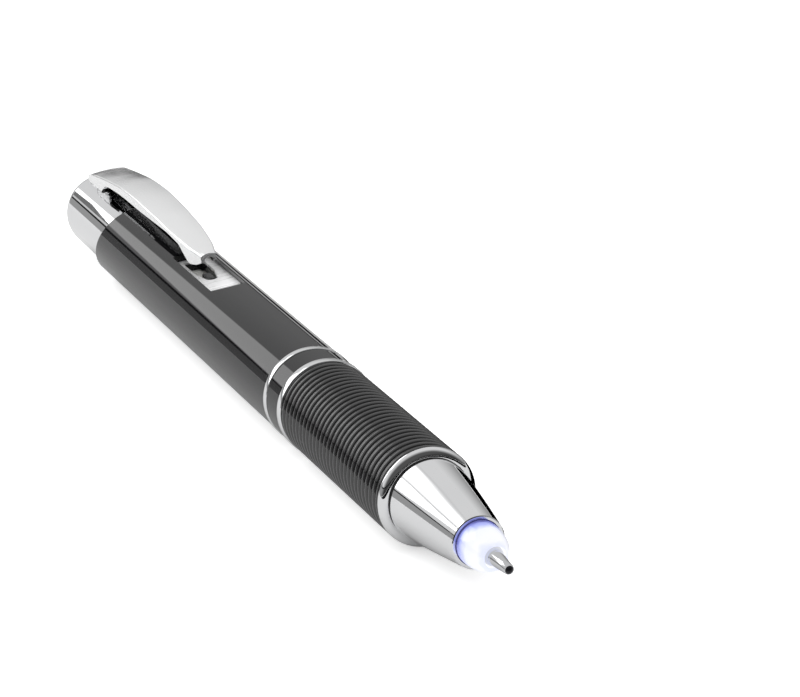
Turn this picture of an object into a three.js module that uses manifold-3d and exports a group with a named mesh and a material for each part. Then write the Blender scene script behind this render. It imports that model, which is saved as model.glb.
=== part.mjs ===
// Counterfeit detector pen: a push-pull ballpoint with an ultraviolet lamp around its writing tip.
//
// Millimetres, +Z up. The pen lies along X with its writing tip toward +X and its clip on top. The origin is
// under the middle of its length, on the surface that it rests on. Stations along the pen are counted from
// the shoulder where the grip meets the nose, positive toward the tip.

import * as THREE from "three";
import { mergeVertices } from "three/addons/utils/BufferGeometryUtils.js";
import Module from "manifold-3d";

// ---- Driving dimensions -----------------------------------------------------------------------------------

const ROUND_SIDES = 36;
const SMALL_SIDES = 18;
const WIRE_SIDES = 6;
const COIL_STEPS = 12;
const MIDDLE_SIDES = 24;
const CORNER_STEPS = 4;

const BARREL_RADIUS = 5.8;
const BARREL_WALL = 0.5;
const BARREL_CUT_ANGLE = THREE.MathUtils.degToRad(32);
const RING_PROUD = 0.1;
const REAR_RING_WIDTH = 1.0;
const BAND_WIDTH = 3.6;
const FRONT_RING_WIDTH = 1.2;

const GRIP_LENGTH = 30.3;
const GRIP_RIBS = 28;
const GRIP_RIB_DEPTH = 0.22;
const GRIP_SKIN = 1.0;

const NOSE_LENGTH = 14.4;
const NOSE_SHOULDER = 0.95;
const NOSE_NECK_RADIUS = 4.85;
const NOSE_RIM_RADIUS = 3.06;
const NOSE_WALL = 0.39;
const NOSE_GROOVE_WIDTH = 0.35;
const NOSE_GROOVE_DEPTH = 0.15;
const NOSE_ROOT_LENGTH = 1.0;
const NOSE_ROOT_EXTRA = 0.3;
const SECTION_WALL = 1.1;
const LENS_REACH = 4.4;
const LENS_FRONT_RADIUS = 1.45;
const LENS_SEAT = 3.4;
const LAMP_ROOM = 2.6;

const REFILL_LENGTH = 67.0;
const REFILL_RADIUS = 1.175;
const TIP_REACH = 3.9;
const TIP_CONE_LENGTH = 8.0;
const TIP_NECK_RADIUS = 0.85;
const BALL_RADIUS = 0.5;

const CELL_COUNT = 3;
const CELL_RADIUS = 3.95;
const CELL_HEIGHT = 3.6;
const CELL_POLE_INSET = 0.85;
const CELL_POLE_HEIGHT = 0.54;
const HOLDER_WALL = 0.5;
const HOLDER_END = 0.6;
const HOLDER_HOLE_RADIUS = 1.2;
const CELL_SPRING_LENGTH = 1.2;
const STUD_LENGTH = 0.7;

const TRAVEL = 5.0;
const PLATE_LENGTH = 12.5;
const PLATE_HALF_WIDTH = 2.3;
const PLATE_LIP = 0.25;
const PLATE_THICKNESS = 0.4;
const PLATE_DROP = 1.29;
const RAMP_ANGLE = THREE.MathUtils.degToRad(20);
const RAMP_LEAD = 1.2;
const RAMP_OVERCUT = 0.2;
const SLOT_SET_BACK = 3.7;
const SLOT_LENGTH = 8.2;
const SLOT_FRONT_WIDTH = 1.5;
const SLOT_REAR_WIDTH = 2.5;
const KEY_LENGTH = 2.6;
const KEY_WIDTH = 1.1;
const PUSH_ROD_RADIUS = 3.2;
const PUSH_ROD_BORE = 2.4;
const GUIDE_TAIL = 2.0;
const COUPLING_WALL = 0.7;
const COUPLING_SET_BACK = 0.5;

const CLIP_LENGTH = 44.2;
const CLIP_HALF_WIDTH = 2.4;
const CLIP_TIP_HALF_WIDTH = 1.05;
const CLIP_WALL = 0.55;
const CLIP_RISE = 4.6;
const CLIP_TIP_RISE = 1.95;
const CLIP_GAP = 2.6;
const CLIP_PIN_SET_IN = 1.7;
const CLIP_PIN_RISE = 0.65;
const CLIP_PIN_RADIUS = 0.4;
const CLIP_HEEL_GAP = 0.27;
const CLIP_HEEL_DROP = 0.3;
const CLIP_SET_IN = 6.0;

const CAP_SHOWN = 17.6;
const CAP_WALL = 0.4;
const CAP_CORNER = 2.2;
const CAP_DOME = 0.9;
const CAP_FACE_RADIUS = 2.0;
const CAP_OVERLAP = 14.0;
const CAP_PLUG_FLANGE = 2.6;
const CAP_PLUG_ROOM = 5.8;

// ---- Clearances -------------------------------------------------------------------------------------------

const SLIDE_FIT = 0.1;
const PRESS_FIT = 0.05;
const STOP_GAP = 0.3;
const BUTT_GAP = 0.03;
const REFILL_FIT = 0.075;
const BOARD_FIT = 0.2;
const BALL_FIT = 0.03;
const LUG_FIT = 0.15;

// ---- Derived sizes and stations ---------------------------------------------------------------------------

const RING_RADIUS = BARREL_RADIUS + RING_PROUD;
const BORE_RADIUS = BARREL_RADIUS - BARREL_WALL;
const CAP_RADIUS = BORE_RADIUS - SLIDE_FIT;
const CAP_BORE = CAP_RADIUS - CAP_WALL;
const SECTION_RADIUS = BARREL_RADIUS - GRIP_SKIN - PRESS_FIT;
const SECTION_BORE = SECTION_RADIUS - SECTION_WALL;
const LENS_REAR_RADIUS = NOSE_RIM_RADIUS - NOSE_WALL - PRESS_FIT;
const REFILL_BORE = REFILL_RADIUS + REFILL_FIT;
const HOLDER_BORE = CELL_RADIUS + SLIDE_FIT;
const HOLDER_RADIUS = HOLDER_BORE + HOLDER_WALL;
const PLATE_TOP = BARREL_RADIUS - PLATE_DROP;

const GRIP_REAR = -GRIP_LENGTH;
const FRONT_RING_REAR = GRIP_REAR - FRONT_RING_WIDTH;
const BAND_REAR = FRONT_RING_REAR - BAND_WIDTH;
const TUBE_FRONT = BAND_REAR - REAR_RING_WIDTH;
const LENS_FRONT = NOSE_LENGTH + LENS_REACH;
const TIP_END = LENS_FRONT + TIP_REACH;
const REFILL_REAR = TIP_END - REFILL_LENGTH;

const HOLDER_FRONT = REFILL_REAR - STOP_GAP;
const CELLS_LENGTH = CELL_COUNT * CELL_HEIGHT;
const HOLDER_REAR = HOLDER_FRONT - 2 * HOLDER_END - STUD_LENGTH - CELLS_LENGTH - CELL_SPRING_LENGTH;
const GUIDE_SHOULDER = HOLDER_REAR - TRAVEL - STOP_GAP;
const PLATE_FRONT = GUIDE_SHOULDER - RAMP_LEAD;
const RAMP_END = PLATE_FRONT + (PLATE_DROP + RAMP_OVERCUT) / Math.tan(RAMP_ANGLE);
const PLATE_REAR = PLATE_FRONT - PLATE_LENGTH;
const SLOT_FRONT = PLATE_FRONT - SLOT_SET_BACK;
const KEY_FRONT = SLOT_FRONT - STOP_GAP;
const GUIDE_REAR = PLATE_REAR - GUIDE_TAIL;

const CAP_FRONT = GUIDE_REAR - CAP_PLUG_ROOM - CAP_PLUG_FLANGE;
const BARREL_REAR = CAP_FRONT - CAP_OVERLAP;
const CAP_END = BARREL_REAR - CAP_SHOWN;
const CLIP_REAR = CAP_END + CLIP_SET_IN;
const CLIP_FRONT = CLIP_REAR + CLIP_LENGTH;
const PIN_STATION = CLIP_REAR + CLIP_PIN_SET_IN;
const PIN_HEIGHT = CAP_RADIUS + CLIP_PIN_RISE;

const MIDDLE = (TIP_END + CAP_END) / 2;

// ---- Materials --------------------------------------------------------------------------------------------

function finish(color, roughness, metalness) {
  return () => new THREE.MeshStandardMaterial({ color, roughness, metalness });
}

const blackLacquer = finish(0x0b0b0d, 0.08, 0.0);
const blackRubber = finish(0x101012, 0.35, 0.0);
const blackPlastic = finish(0x17171a, 0.45, 0.0);
const chrome = finish(0xe6e8ea, 0.08, 1.0);
const satinChrome = finish(0xd4d6d8, 0.22, 1.0);
const springSteel = finish(0xb9bcc0, 0.3, 1.0);
const brass = finish(0xc8a24a, 0.3, 1.0);
const cellSteel = finish(0xc9cbcd, 0.28, 1.0);
const whitePlastic = finish(0xe9e9e6, 0.5, 0.0);
const lampLens = finish(0xdfe4ff, 0.15, 0.0);
const boardGreen = finish(0x1f5b38, 0.5, 0.0);

// ---- Solids -----------------------------------------------------------------------------------------------

const wasm = await Module();
wasm.setup();

// The merged position-only copy of a geometry, with its faces turned outward.
function closedGeometry(geometry) {
  const plain = geometry.index ? geometry : mergeVertices(geometry);
  plain.deleteAttribute("normal");
  plain.deleteAttribute("uv");
  return mergeVertices(plain, 1e-4);
}

function solidOf(geometry) {
  const merged = closedGeometry(geometry.clone());
  const mesh = { numProp: 3, vertProperties: merged.attributes.position.array, triVerts: merged.index.array };
  mesh.triVerts = new Uint32Array(mesh.triVerts);
  return new wasm.Manifold(new wasm.Mesh(mesh));
}

function geometryOf(solid) {
  const mesh = solid.getMesh();
  const geometry = new THREE.BufferGeometry();
  geometry.setAttribute("position", new THREE.BufferAttribute(new Float32Array(mesh.vertProperties), 3));
  geometry.setIndex(new THREE.BufferAttribute(new Uint32Array(mesh.triVerts), 1));
  return geometry;
}

function combine(operation, first, others) {
  let solid = solidOf(first);
  for (const other of others) {
    solid = solid[operation](solidOf(other));
  }
  return geometryOf(solid);
}

const cut = (geometry, ...tools) => combine("subtract", geometry, tools);
const common = (geometry, ...pieces) => combine("intersect", geometry, pieces);

// A body of revolution about the pen's axis. The profile is a list of [station, radius] that runs from the
// rear to the front along the outside; it closes on itself, or starts and ends on the axis.
function revolve(profile, sides = ROUND_SIDES) {
  const points = profile.map(([station, radius]) => new THREE.Vector2(radius, station));
  const onAxis = points[0].x === 0 && points.at(-1).x === 0;
  if (!onAxis) {
    points.push(points[0].clone());
  }
  return new THREE.LatheGeometry(points, sides).rotateZ(-Math.PI / 2);
}

// A plain ring or tube about the pen's axis.
function tube(rear, front, outer, inner, sides = ROUND_SIDES) {
  return revolve([[rear, inner], [rear, outer], [front, outer], [front, inner]], sides);
}

function disc(rear, front, radius, sides = ROUND_SIDES) {
  return revolve([[rear, 0], [rear, radius], [front, radius], [front, 0]], sides);
}

// A box between two stations, two sides and two heights above the axis.
function block(rear, front, left, right, low, high) {
  const box = new THREE.BoxGeometry(front - rear, right - left, high - low);
  return box.translate((front + rear) / 2, (left + right) / 2, (low + high) / 2);
}

// A side outline in station and height, pulled out across the pen.
function sideSlab(outline, left, right) {
  const shape = new THREE.Shape(outline.map(([station, height]) => new THREE.Vector2(station, height)));
  const slab = new THREE.ExtrudeGeometry(shape, { depth: right - left, bevelEnabled: false });
  return slab.rotateX(Math.PI / 2).translate(0, right, 0);
}

// A plan outline in station and side, pulled up between two heights.
function planSlab(outline, low, high) {
  const shape = new THREE.Shape(outline.map(([station, side]) => new THREE.Vector2(station, side)));
  return new THREE.ExtrudeGeometry(shape, { depth: high - low, bevelEnabled: false }).translate(0, 0, low);
}

// A round wire along a list of points.
function wire(points, radius) {
  const section = new THREE.Shape().absarc(0, 0, radius, 0, 2 * Math.PI);
  const path = new THREE.CatmullRomCurve3(points);
  const settings = { steps: points.length - 1, curveSegments: WIRE_SIDES / 2, bevelEnabled: false };
  return new THREE.ExtrudeGeometry(section, { ...settings, extrudePath: path });
}

// The points of a helix about the pen's axis, whose radius runs from one value to another.
function helix(rear, front, rearRadius, frontRadius, turns) {
  const steps = Math.round(turns * COIL_STEPS);
  const points = [];
  for (let i = 0; i <= steps; i += 1) {
    const share = i / steps;
    const angle = share * turns * 2 * Math.PI;
    const radius = rearRadius + (frontRadius - rearRadius) * share;
    const station = rear + (front - rear) * share;
    points.push(new THREE.Vector3(station, radius * Math.cos(angle), radius * Math.sin(angle)));
  }
  return points;
}

// ---- Barrel -----------------------------------------------------------------------------------------------

// The black tube: its rear edge is cut on a slant, further forward under the clip, and a window opens onto
// the slot plate.
function barrelTube() {
  const reach = 2 * BARREL_RADIUS;
  const whole = tube(BARREL_REAR - reach, TUBE_FRONT - BUTT_GAP, BARREL_RADIUS, BORE_RADIUS);
  const behind = block(-2 * reach, 0, -reach, reach, -reach, reach);
  behind.rotateY(BARREL_CUT_ANGLE).translate(BARREL_REAR, 0, 0);
  return cut(whole, behind, windowTool());
}

// What is cut away over the plate: a straight-sided window whose front end is a ramp up to the surface.
function windowTool() {
  const outline = [
    [PLATE_REAR, PLATE_TOP],
    [PLATE_FRONT, PLATE_TOP],
    [RAMP_END, BARREL_RADIUS + RAMP_OVERCUT],
    [RAMP_END, 2 * BARREL_RADIUS],
    [PLATE_REAR, 2 * BARREL_RADIUS],
  ];
  return sideSlab(outline, -PLATE_HALF_WIDTH, PLATE_HALF_WIDTH);
}

function rearRing() {
  return tube(TUBE_FRONT, BAND_REAR - BUTT_GAP, RING_RADIUS, SECTION_RADIUS + PRESS_FIT);
}

// The sleeve pressed into the barrel's front end, which the front section screws into.
function couplingInsert() {
  const outer = BORE_RADIUS - PRESS_FIT;
  const rear = HOLDER_FRONT + COUPLING_SET_BACK;
  return tube(rear, TUBE_FRONT - BUTT_GAP, outer, outer - COUPLING_WALL);
}

// The carrier inside the barrel that the slot plate lies on and that the push rod slides through. Its thin
// front skirt backs the ramp and lets the cell holder slide in under it.
function guideSleeve() {
  const outer = BORE_RADIUS - PRESS_FIT;
  const bore = PUSH_ROD_RADIUS + SLIDE_FIT;
  const skirtBore = HOLDER_RADIUS + SLIDE_FIT;
  const body = revolve([
    [GUIDE_REAR, bore],
    [GUIDE_REAR, outer],
    [RAMP_END, outer],
    [RAMP_END, skirtBore],
    [GUIDE_SHOULDER, skirtBore],
    [GUIDE_SHOULDER, bore],
  ]);
  const seat = PLATE_TOP - PLATE_THICKNESS - PRESS_FIT;
  const pocketRear = PLATE_REAR - PLATE_LIP - PRESS_FIT;
  const pocket = block(pocketRear, PLATE_FRONT + PRESS_FIT, -outer, outer, seat, BARREL_RADIUS);
  const keyHalf = SLOT_REAR_WIDTH / 2;
  const keyway = block(SLOT_FRONT - SLOT_LENGTH, SLOT_FRONT, -keyHalf, keyHalf, 0, outer);
  return cut(body, pocket, keyway, windowTool());
}

// The slot's outline: a round front end, then sides that open toward the rear.
function slotOutline() {
  const front = SLOT_FRONT_WIDTH / 2;
  const rear = SLOT_REAR_WIDTH / 2;
  const centre = SLOT_FRONT - front;
  const outline = [];
  for (let i = 0; i <= SMALL_SIDES / 2; i += 1) {
    const angle = -Math.PI / 2 + (i / (SMALL_SIDES / 2)) * Math.PI;
    outline.push([centre + front * Math.cos(angle), front * Math.sin(angle)]);
  }
  outline.push([centre - KEY_LENGTH, rear], [SLOT_FRONT - SLOT_LENGTH, rear]);
  outline.push([SLOT_FRONT - SLOT_LENGTH, -rear], [centre - KEY_LENGTH, -rear]);
  return outline;
}

// The chrome plate that lies in the window, held under its two long edges and its rear one.
function slotPlate() {
  const side = PLATE_HALF_WIDTH + PLATE_LIP;
  const low = PLATE_TOP - PLATE_THICKNESS;
  const plate = block(PLATE_REAR - PLATE_LIP, PLATE_FRONT, -side, side, low, PLATE_TOP);
  return cut(plate, planSlab(slotOutline(), low - PLATE_THICKNESS, PLATE_TOP + PLATE_THICKNESS));
}

// ---- Cap, push rod and cells ------------------------------------------------------------------------------

// The chrome cap: a long cup with a rounded corner and a nearly flat end, which slides in the barrel.
function capShell() {
  const profile = [[CAP_END, 0], [CAP_END, CAP_FACE_RADIUS]];
  for (let i = 0; i <= CORNER_STEPS; i += 1) {
    const angle = (i / CORNER_STEPS) * (Math.PI / 2);
    const radius = CAP_RADIUS - CAP_CORNER * (1 - Math.sin(angle));
    const station = CAP_END + CAP_DOME + CAP_CORNER * (1 - Math.cos(angle));
    profile.push([station, radius]);
  }
  profile.push([CAP_FRONT, CAP_RADIUS], [CAP_FRONT, CAP_BORE], [CAP_END + 2 * CAP_CORNER, CAP_BORE]);
  profile.push([CAP_END + CAP_CORNER, CAP_BORE - CAP_CORNER], [CAP_END + CAP_CORNER, 0]);
  return revolve(profile);
}

const O_RING_WIRE = 0.4;
const O_RING_CENTRE = BORE_RADIUS - PRESS_FIT - O_RING_WIRE;
const INSERT_LENGTH = 6.0;
const O_RING_STATION = CAP_FRONT + CAP_PLUG_FLANGE / 2;

// The plastic plug in the cap's open end, which carries the push rod and the friction ring.
function capInsert() {
  const flange = CAP_RADIUS - PRESS_FIT;
  const groove = O_RING_CENTRE - O_RING_WIRE - PRESS_FIT;
  const half = O_RING_WIRE + PRESS_FIT;
  const bore = PUSH_ROD_RADIUS + PRESS_FIT;
  const plug = CAP_BORE - PRESS_FIT;
  return revolve([
    [CAP_FRONT - INSERT_LENGTH, bore],
    [CAP_FRONT - INSERT_LENGTH, plug],
    [CAP_FRONT + PRESS_FIT, plug],
    [CAP_FRONT + PRESS_FIT, flange],
    [O_RING_STATION - half, flange],
    [O_RING_STATION - half, groove],
    [O_RING_STATION + half, groove],
    [O_RING_STATION + half, flange],
    [CAP_FRONT + CAP_PLUG_FLANGE, flange],
    [CAP_FRONT + CAP_PLUG_FLANGE, bore],
  ]);
}

// A ring of round wire about the pen's axis.
function ringOfWire(station, centreRadius, wireRadius) {
  const profile = [];
  for (let i = 0; i < WIRE_SIDES; i += 1) {
    const angle = Math.PI + (i / WIRE_SIDES) * 2 * Math.PI;
    profile.push([station + wireRadius * Math.cos(angle), centreRadius - wireRadius * Math.sin(angle)]);
  }
  return revolve(profile);
}

function frictionRing() {
  return ringOfWire(O_RING_STATION, O_RING_CENTRE, O_RING_WIRE);
}

function pushRod() {
  const rear = CAP_FRONT - INSERT_LENGTH;
  return tube(rear, HOLDER_REAR - BUTT_GAP, PUSH_ROD_RADIUS, PUSH_ROD_BORE, MIDDLE_SIDES);
}

// The black tongue on the push rod that runs in the plate's slot and keeps the cap from turning.
function slideKey() {
  const foot = PUSH_ROD_RADIUS + PRESS_FIT;
  return block(KEY_FRONT - KEY_LENGTH, KEY_FRONT, -KEY_WIDTH / 2, KEY_WIDTH / 2, foot, PLATE_TOP - PRESS_FIT);
}

const STUD_RADIUS = 1.5;
const STUD_HEAD = 0.4;
const CELLS_FRONT = HOLDER_FRONT - HOLDER_END - STUD_LENGTH;
const CELLS_REAR = CELLS_FRONT - CELLS_LENGTH;

// The cell holder: a tube with an end wall at each end, both pierced.
function cellHolder() {
  return revolve([
    [HOLDER_REAR, HOLDER_HOLE_RADIUS],
    [HOLDER_REAR, HOLDER_RADIUS],
    [HOLDER_FRONT, HOLDER_RADIUS],
    [HOLDER_FRONT, STUD_RADIUS + PRESS_FIT],
    [HOLDER_FRONT - HOLDER_END, STUD_RADIUS + PRESS_FIT],
    [HOLDER_FRONT - HOLDER_END, HOLDER_BORE],
    [HOLDER_REAR + HOLDER_END, HOLDER_BORE],
    [HOLDER_REAR + HOLDER_END, HOLDER_HOLE_RADIUS],
  ]);
}

// One button cell: the can, and the smaller pole that stands off its front.
function buttonCell(index) {
  const rear = CELLS_REAR + index * CELL_HEIGHT;
  const front = rear + CELL_HEIGHT - BUTT_GAP;
  const step = front - CELL_POLE_HEIGHT;
  const pole = CELL_RADIUS - CELL_POLE_INSET;
  return revolve(
    [[rear, 0], [rear, CELL_RADIUS], [step, CELL_RADIUS], [step, pole], [front, pole], [front, 0]],
    MIDDLE_SIDES,
  );
}

const CELL_SPRING_WIRE = 0.15;
const CELL_SPRING_TURNS = 2.5;
const CELL_SPRING_TAPER = 1.2;
const CELL_SPRING_END_GAP = 0.2;

// The conical spring behind the cells: its wide end sits on the holder's rear wall.
function cellSpring() {
  const rear = HOLDER_REAR + HOLDER_END + CELL_SPRING_END_GAP;
  const wide = HOLDER_BORE - CELL_POLE_INSET - CELL_SPRING_END_GAP;
  const front = CELLS_REAR - CELL_SPRING_END_GAP;
  const coil = helix(rear, front, wide, wide - CELL_SPRING_TAPER, CELL_SPRING_TURNS);
  return wire(coil, CELL_SPRING_WIRE);
}

// The brass stud between the front cell and the back of the refill.
function contactStud() {
  const step = HOLDER_FRONT - HOLDER_END - BUTT_GAP;
  return revolve(
    [
      [CELLS_FRONT + BUTT_GAP, 0],
      [CELLS_FRONT + BUTT_GAP, STUD_RADIUS + STUD_HEAD],
      [step, STUD_RADIUS + STUD_HEAD],
      [step, STUD_RADIUS],
      [HOLDER_FRONT, STUD_RADIUS],
      [HOLDER_FRONT, 0],
    ],
    SMALL_SIDES,
  );
}

// ---- Clip -------------------------------------------------------------------------------------------------

const CLIP_TOP = CAP_RADIUS + CLIP_RISE;
const CLIP_TIP_TOP = BARREL_RADIUS + CLIP_TIP_RISE;
const CLIP_HEEL = CAP_RADIUS - CLIP_HEEL_DROP;
const CLIP_HEEL_SHARE = 0.25;
const CLIP_REAR_NARROWING = 0.5;
const LUG_RADIUS = 0.7;
const LUG_HALF_WIDTH = CLIP_HALF_WIDTH - CLIP_WALL - LUG_FIT;
const SPRING_ROOM = 1.15;
const PIN_SET_BACK = 0.12;

// The clip's top: at each share of its length, the share of its rise that it has reached.
const CLIP_RISE_COURSE = [
  [0, 0.27],
  [0.02, 0.4],
  [0.06, 0.52],
  [0.125, 0.63],
  [0.24, 0.8],
  [0.38, 0.96],
  [0.5, 1],
  [0.66, 0.935],
  [0.78, 0.837],
  [0.9, 0.71],
];

// The clip's underside: at each share of its length, its height over the barrel or over its own heel.
const CLIP_CHEEK_COURSE = [
  [1, 0.95],
  [0.965, 0.35],
  [0.93, 0.12],
  [0.9, 0.9],
  [0.86, CLIP_GAP * 0.8],
  [0.75, CLIP_GAP],
  [0.4, CLIP_GAP - 0.1],
  [0.25, CLIP_GAP - 0.5],
];
const CLIP_HEEL_COURSE = [
  [0.2, 2.3],
  [0.165, 0.8],
  [0.14, 0.1],
  [0.1, 0],
];

// How much of its narrowing toward the tip the clip has reached at each share of its length.
const CLIP_NARROWING_COURSE = [
  [0.04, 0],
  [0.5, 0],
  [0.78, 0.18],
  [0.92, 0.5],
  [1, 1],
];

// A smooth line through the given stations and heights, as a list of points.
function smoothLine(points, divisions) {
  const curve = new THREE.SplineCurve(points.map(([station, height]) => new THREE.Vector2(station, height)));
  return curve.getPoints(divisions).map((point) => [point.x, point.y]);
}

function clipStation(share) {
  return CLIP_REAR + CLIP_LENGTH * share;
}

// The top of the clip from heel to tip, lowered by the given amount.
function clipTopLine(lower) {
  const points = CLIP_RISE_COURSE.map(([share, rise]) => [clipStation(share), CAP_RADIUS + CLIP_RISE * rise]);
  points.push([clipStation(1), CLIP_TIP_TOP]);
  return smoothLine(points, 24).map(([station, height]) => [station, height - lower]);
}

// The underside of the clip's walls from tip to heel: the cheeks by the tip dip toward the plate, the middle
// stands clear of the barrel and the heel sits close to the cap.
function clipUnderLine() {
  const cheeks = CLIP_CHEEK_COURSE.map(([share, height]) => [clipStation(share), BARREL_RADIUS + height]);
  const heel = CLIP_HEEL_COURSE.map(([share, height]) => [clipStation(share), CLIP_HEEL + height]);
  return smoothLine([...cheeks, ...heel], 26);
}

// Half the clip's width at each share of its length, as the plan outline of one side, lessened by a wall.
function clipPlanSide(inset) {
  const narrow = CLIP_HALF_WIDTH - CLIP_TIP_HALF_WIDTH;
  const points = [[clipStation(0), CLIP_HALF_WIDTH - CLIP_REAR_NARROWING]];
  for (const [share, reached] of CLIP_NARROWING_COURSE) {
    points.push([clipStation(share), CLIP_HALF_WIDTH - narrow * reached]);
  }
  return smoothLine(points, 12).map(([station, side]) => [station, side - inset]);
}

function clipPlan(inset, rearInset, frontReach) {
  const side = clipPlanSide(inset);
  side[0][0] += rearInset;
  side.at(-1)[0] += frontReach;
  const other = side.map(([station, half]) => [station, -half]).reverse();
  return [...other, ...side];
}

// The hollow clip: a roof and two side walls, open below and at its tip, drilled for its pin.
function clip() {
  const outline = [...clipTopLine(0), ...clipUnderLine(), [CLIP_REAR, CLIP_HEEL]];
  const outer = common(
    sideSlab(outline, -2 * CLIP_HALF_WIDTH, 2 * CLIP_HALF_WIDTH),
    planSlab(clipPlan(0, 0, 0), 0, 2 * CLIP_TOP),
  );
  const roof = clipTopLine(CLIP_WALL);
  const behind = CLIP_REAR - CLIP_WALL;
  const ahead = CLIP_FRONT + CLIP_WALL;
  const hollowOutline = [[behind, roof[0][1]], ...roof, [ahead, roof.at(-1)[1]], [ahead, 0], [behind, 0]];
  const hollow = common(
    sideSlab(hollowOutline, -2 * CLIP_HALF_WIDTH, 2 * CLIP_HALF_WIDTH),
    planSlab(clipPlan(CLIP_WALL, CLIP_WALL, CLIP_WALL), 0, 2 * CLIP_TOP),
  );
  const capRoom = disc(CAP_END, clipStation(CLIP_HEEL_SHARE), CAP_RADIUS + CLIP_HEEL_GAP);
  return cut(outer, hollow, capRoom, pinCylinder(CLIP_PIN_RADIUS + SLIDE_FIT, 2 * CLIP_HALF_WIDTH));
}

function pinCylinder(radius, halfLength) {
  const cylinder = new THREE.CylinderGeometry(radius, radius, 2 * halfLength, SMALL_SIDES);
  return cylinder.translate(PIN_STATION, 0, PIN_HEIGHT);
}

function clipPin() {
  return pinCylinder(CLIP_PIN_RADIUS, CLIP_HALF_WIDTH - PIN_SET_BACK);
}

// The bracket on the cap that the pin goes through. It leaves room on one side for the spring's coil.
function clipLug() {
  const right = LUG_HALF_WIDTH - SPRING_ROOM;
  const left = -LUG_HALF_WIDTH;
  const outline = [[PIN_STATION - LUG_RADIUS, CAP_RADIUS / 2]];
  for (let i = 0; i <= SMALL_SIDES / 2; i += 1) {
    const angle = Math.PI - (i / (SMALL_SIDES / 2)) * Math.PI;
    outline.push([PIN_STATION + LUG_RADIUS * Math.cos(angle), PIN_HEIGHT + LUG_RADIUS * Math.sin(angle)]);
  }
  outline.push([PIN_STATION + LUG_RADIUS, CAP_RADIUS / 2]);
  const cap = disc(PIN_STATION - CAP_RADIUS, PIN_STATION + CAP_RADIUS, CAP_RADIUS + PRESS_FIT);
  return cut(sideSlab(outline, left, right), cap, pinCylinder(CLIP_PIN_RADIUS + PRESS_FIT, CLIP_HALF_WIDTH));
}

const HINGE_WIRE = 0.1;
const HINGE_TURNS = 2.75;
const HINGE_LEG = 4.0;

// The torsion spring: nearly three turns round the pin, and a leg that runs forward along the cap.
function clipSpring() {
  const coilRadius = CLIP_PIN_RADIUS + HINGE_WIRE + PRESS_FIT;
  const steps = Math.round(HINGE_TURNS * COIL_STEPS);
  const start = LUG_HALF_WIDTH - SPRING_ROOM + HINGE_WIRE + SLIDE_FIT;
  const end = LUG_HALF_WIDTH - HINGE_WIRE - PRESS_FIT;
  const points = [new THREE.Vector3(PIN_STATION + HINGE_LEG, start, PIN_HEIGHT - coilRadius)];
  for (let i = 0; i <= steps; i += 1) {
    const angle = -Math.PI / 2 - (i / COIL_STEPS) * 2 * Math.PI;
    const side = start + ((end - start) * i) / steps;
    const station = PIN_STATION + coilRadius * Math.cos(angle);
    points.push(new THREE.Vector3(station, side, PIN_HEIGHT + coilRadius * Math.sin(angle)));
  }
  return wire(points, HINGE_WIRE);
}

// ---- Front section ----------------------------------------------------------------------------------------

const SECTION_TAIL = 6.0;
const SEAL_WIDTH = 0.6;
const TAIL_RADIUS = BORE_RADIUS - PRESS_FIT - COUPLING_WALL - SLIDE_FIT;
const SPIGOT_LENGTH = 6.0;
const SPIGOT_WALL = 0.5;
const SPIGOT_RADIUS = SECTION_BORE - PRESS_FIT;

// The inner tube that joins the front section: its thinner tail screws into the barrel.
function sectionTube() {
  const tailEnd = TUBE_FRONT - SECTION_TAIL;
  return revolve([
    [tailEnd, SECTION_BORE],
    [tailEnd, TAIL_RADIUS],
    [TUBE_FRONT + SEAL_WIDTH, TAIL_RADIUS],
    [TUBE_FRONT + SEAL_WIDTH, SECTION_RADIUS],
    [-NOSE_SHOULDER, SECTION_RADIUS],
    [-NOSE_SHOULDER, SECTION_BORE],
  ]);
}

function jointBand() {
  return tube(BAND_REAR, FRONT_RING_REAR - BUTT_GAP, BARREL_RADIUS, SECTION_RADIUS + PRESS_FIT);
}

function frontRing() {
  return tube(FRONT_RING_REAR, GRIP_REAR - BUTT_GAP, RING_RADIUS, SECTION_RADIUS + PRESS_FIT);
}

// The ribbed grip: shallow rings all along it, each a crest between two valleys.
function gripSleeve() {
  const pitch = GRIP_LENGTH / GRIP_RIBS;
  const valley = BARREL_RADIUS - GRIP_RIB_DEPTH;
  const bore = SECTION_RADIUS + PRESS_FIT;
  const profile = [[GRIP_REAR, bore]];
  for (let i = 0; i < GRIP_RIBS; i += 1) {
    const start = GRIP_REAR + i * pitch;
    profile.push([start, valley], [start + pitch / 2, BARREL_RADIUS]);
  }
  profile.push([-BUTT_GAP, valley], [-BUTT_GAP, bore]);
  return revolve(profile);
}

// The radius of the nose cone's outside at a station.
function noseRadius(station) {
  const start = NOSE_SHOULDER + NOSE_GROOVE_WIDTH;
  const share = (station - start) / (NOSE_LENGTH - start);
  return NOSE_NECK_RADIUS + (NOSE_RIM_RADIUS - NOSE_NECK_RADIUS) * share;
}

const BOARD_REAR = NOSE_LENGTH - LENS_SEAT - LAMP_ROOM;
const BOARD_THICKNESS = 0.8;
const BOARD_RADIUS = noseRadius(BOARD_REAR + BOARD_THICKNESS) - NOSE_WALL - PRESS_FIT;

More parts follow.
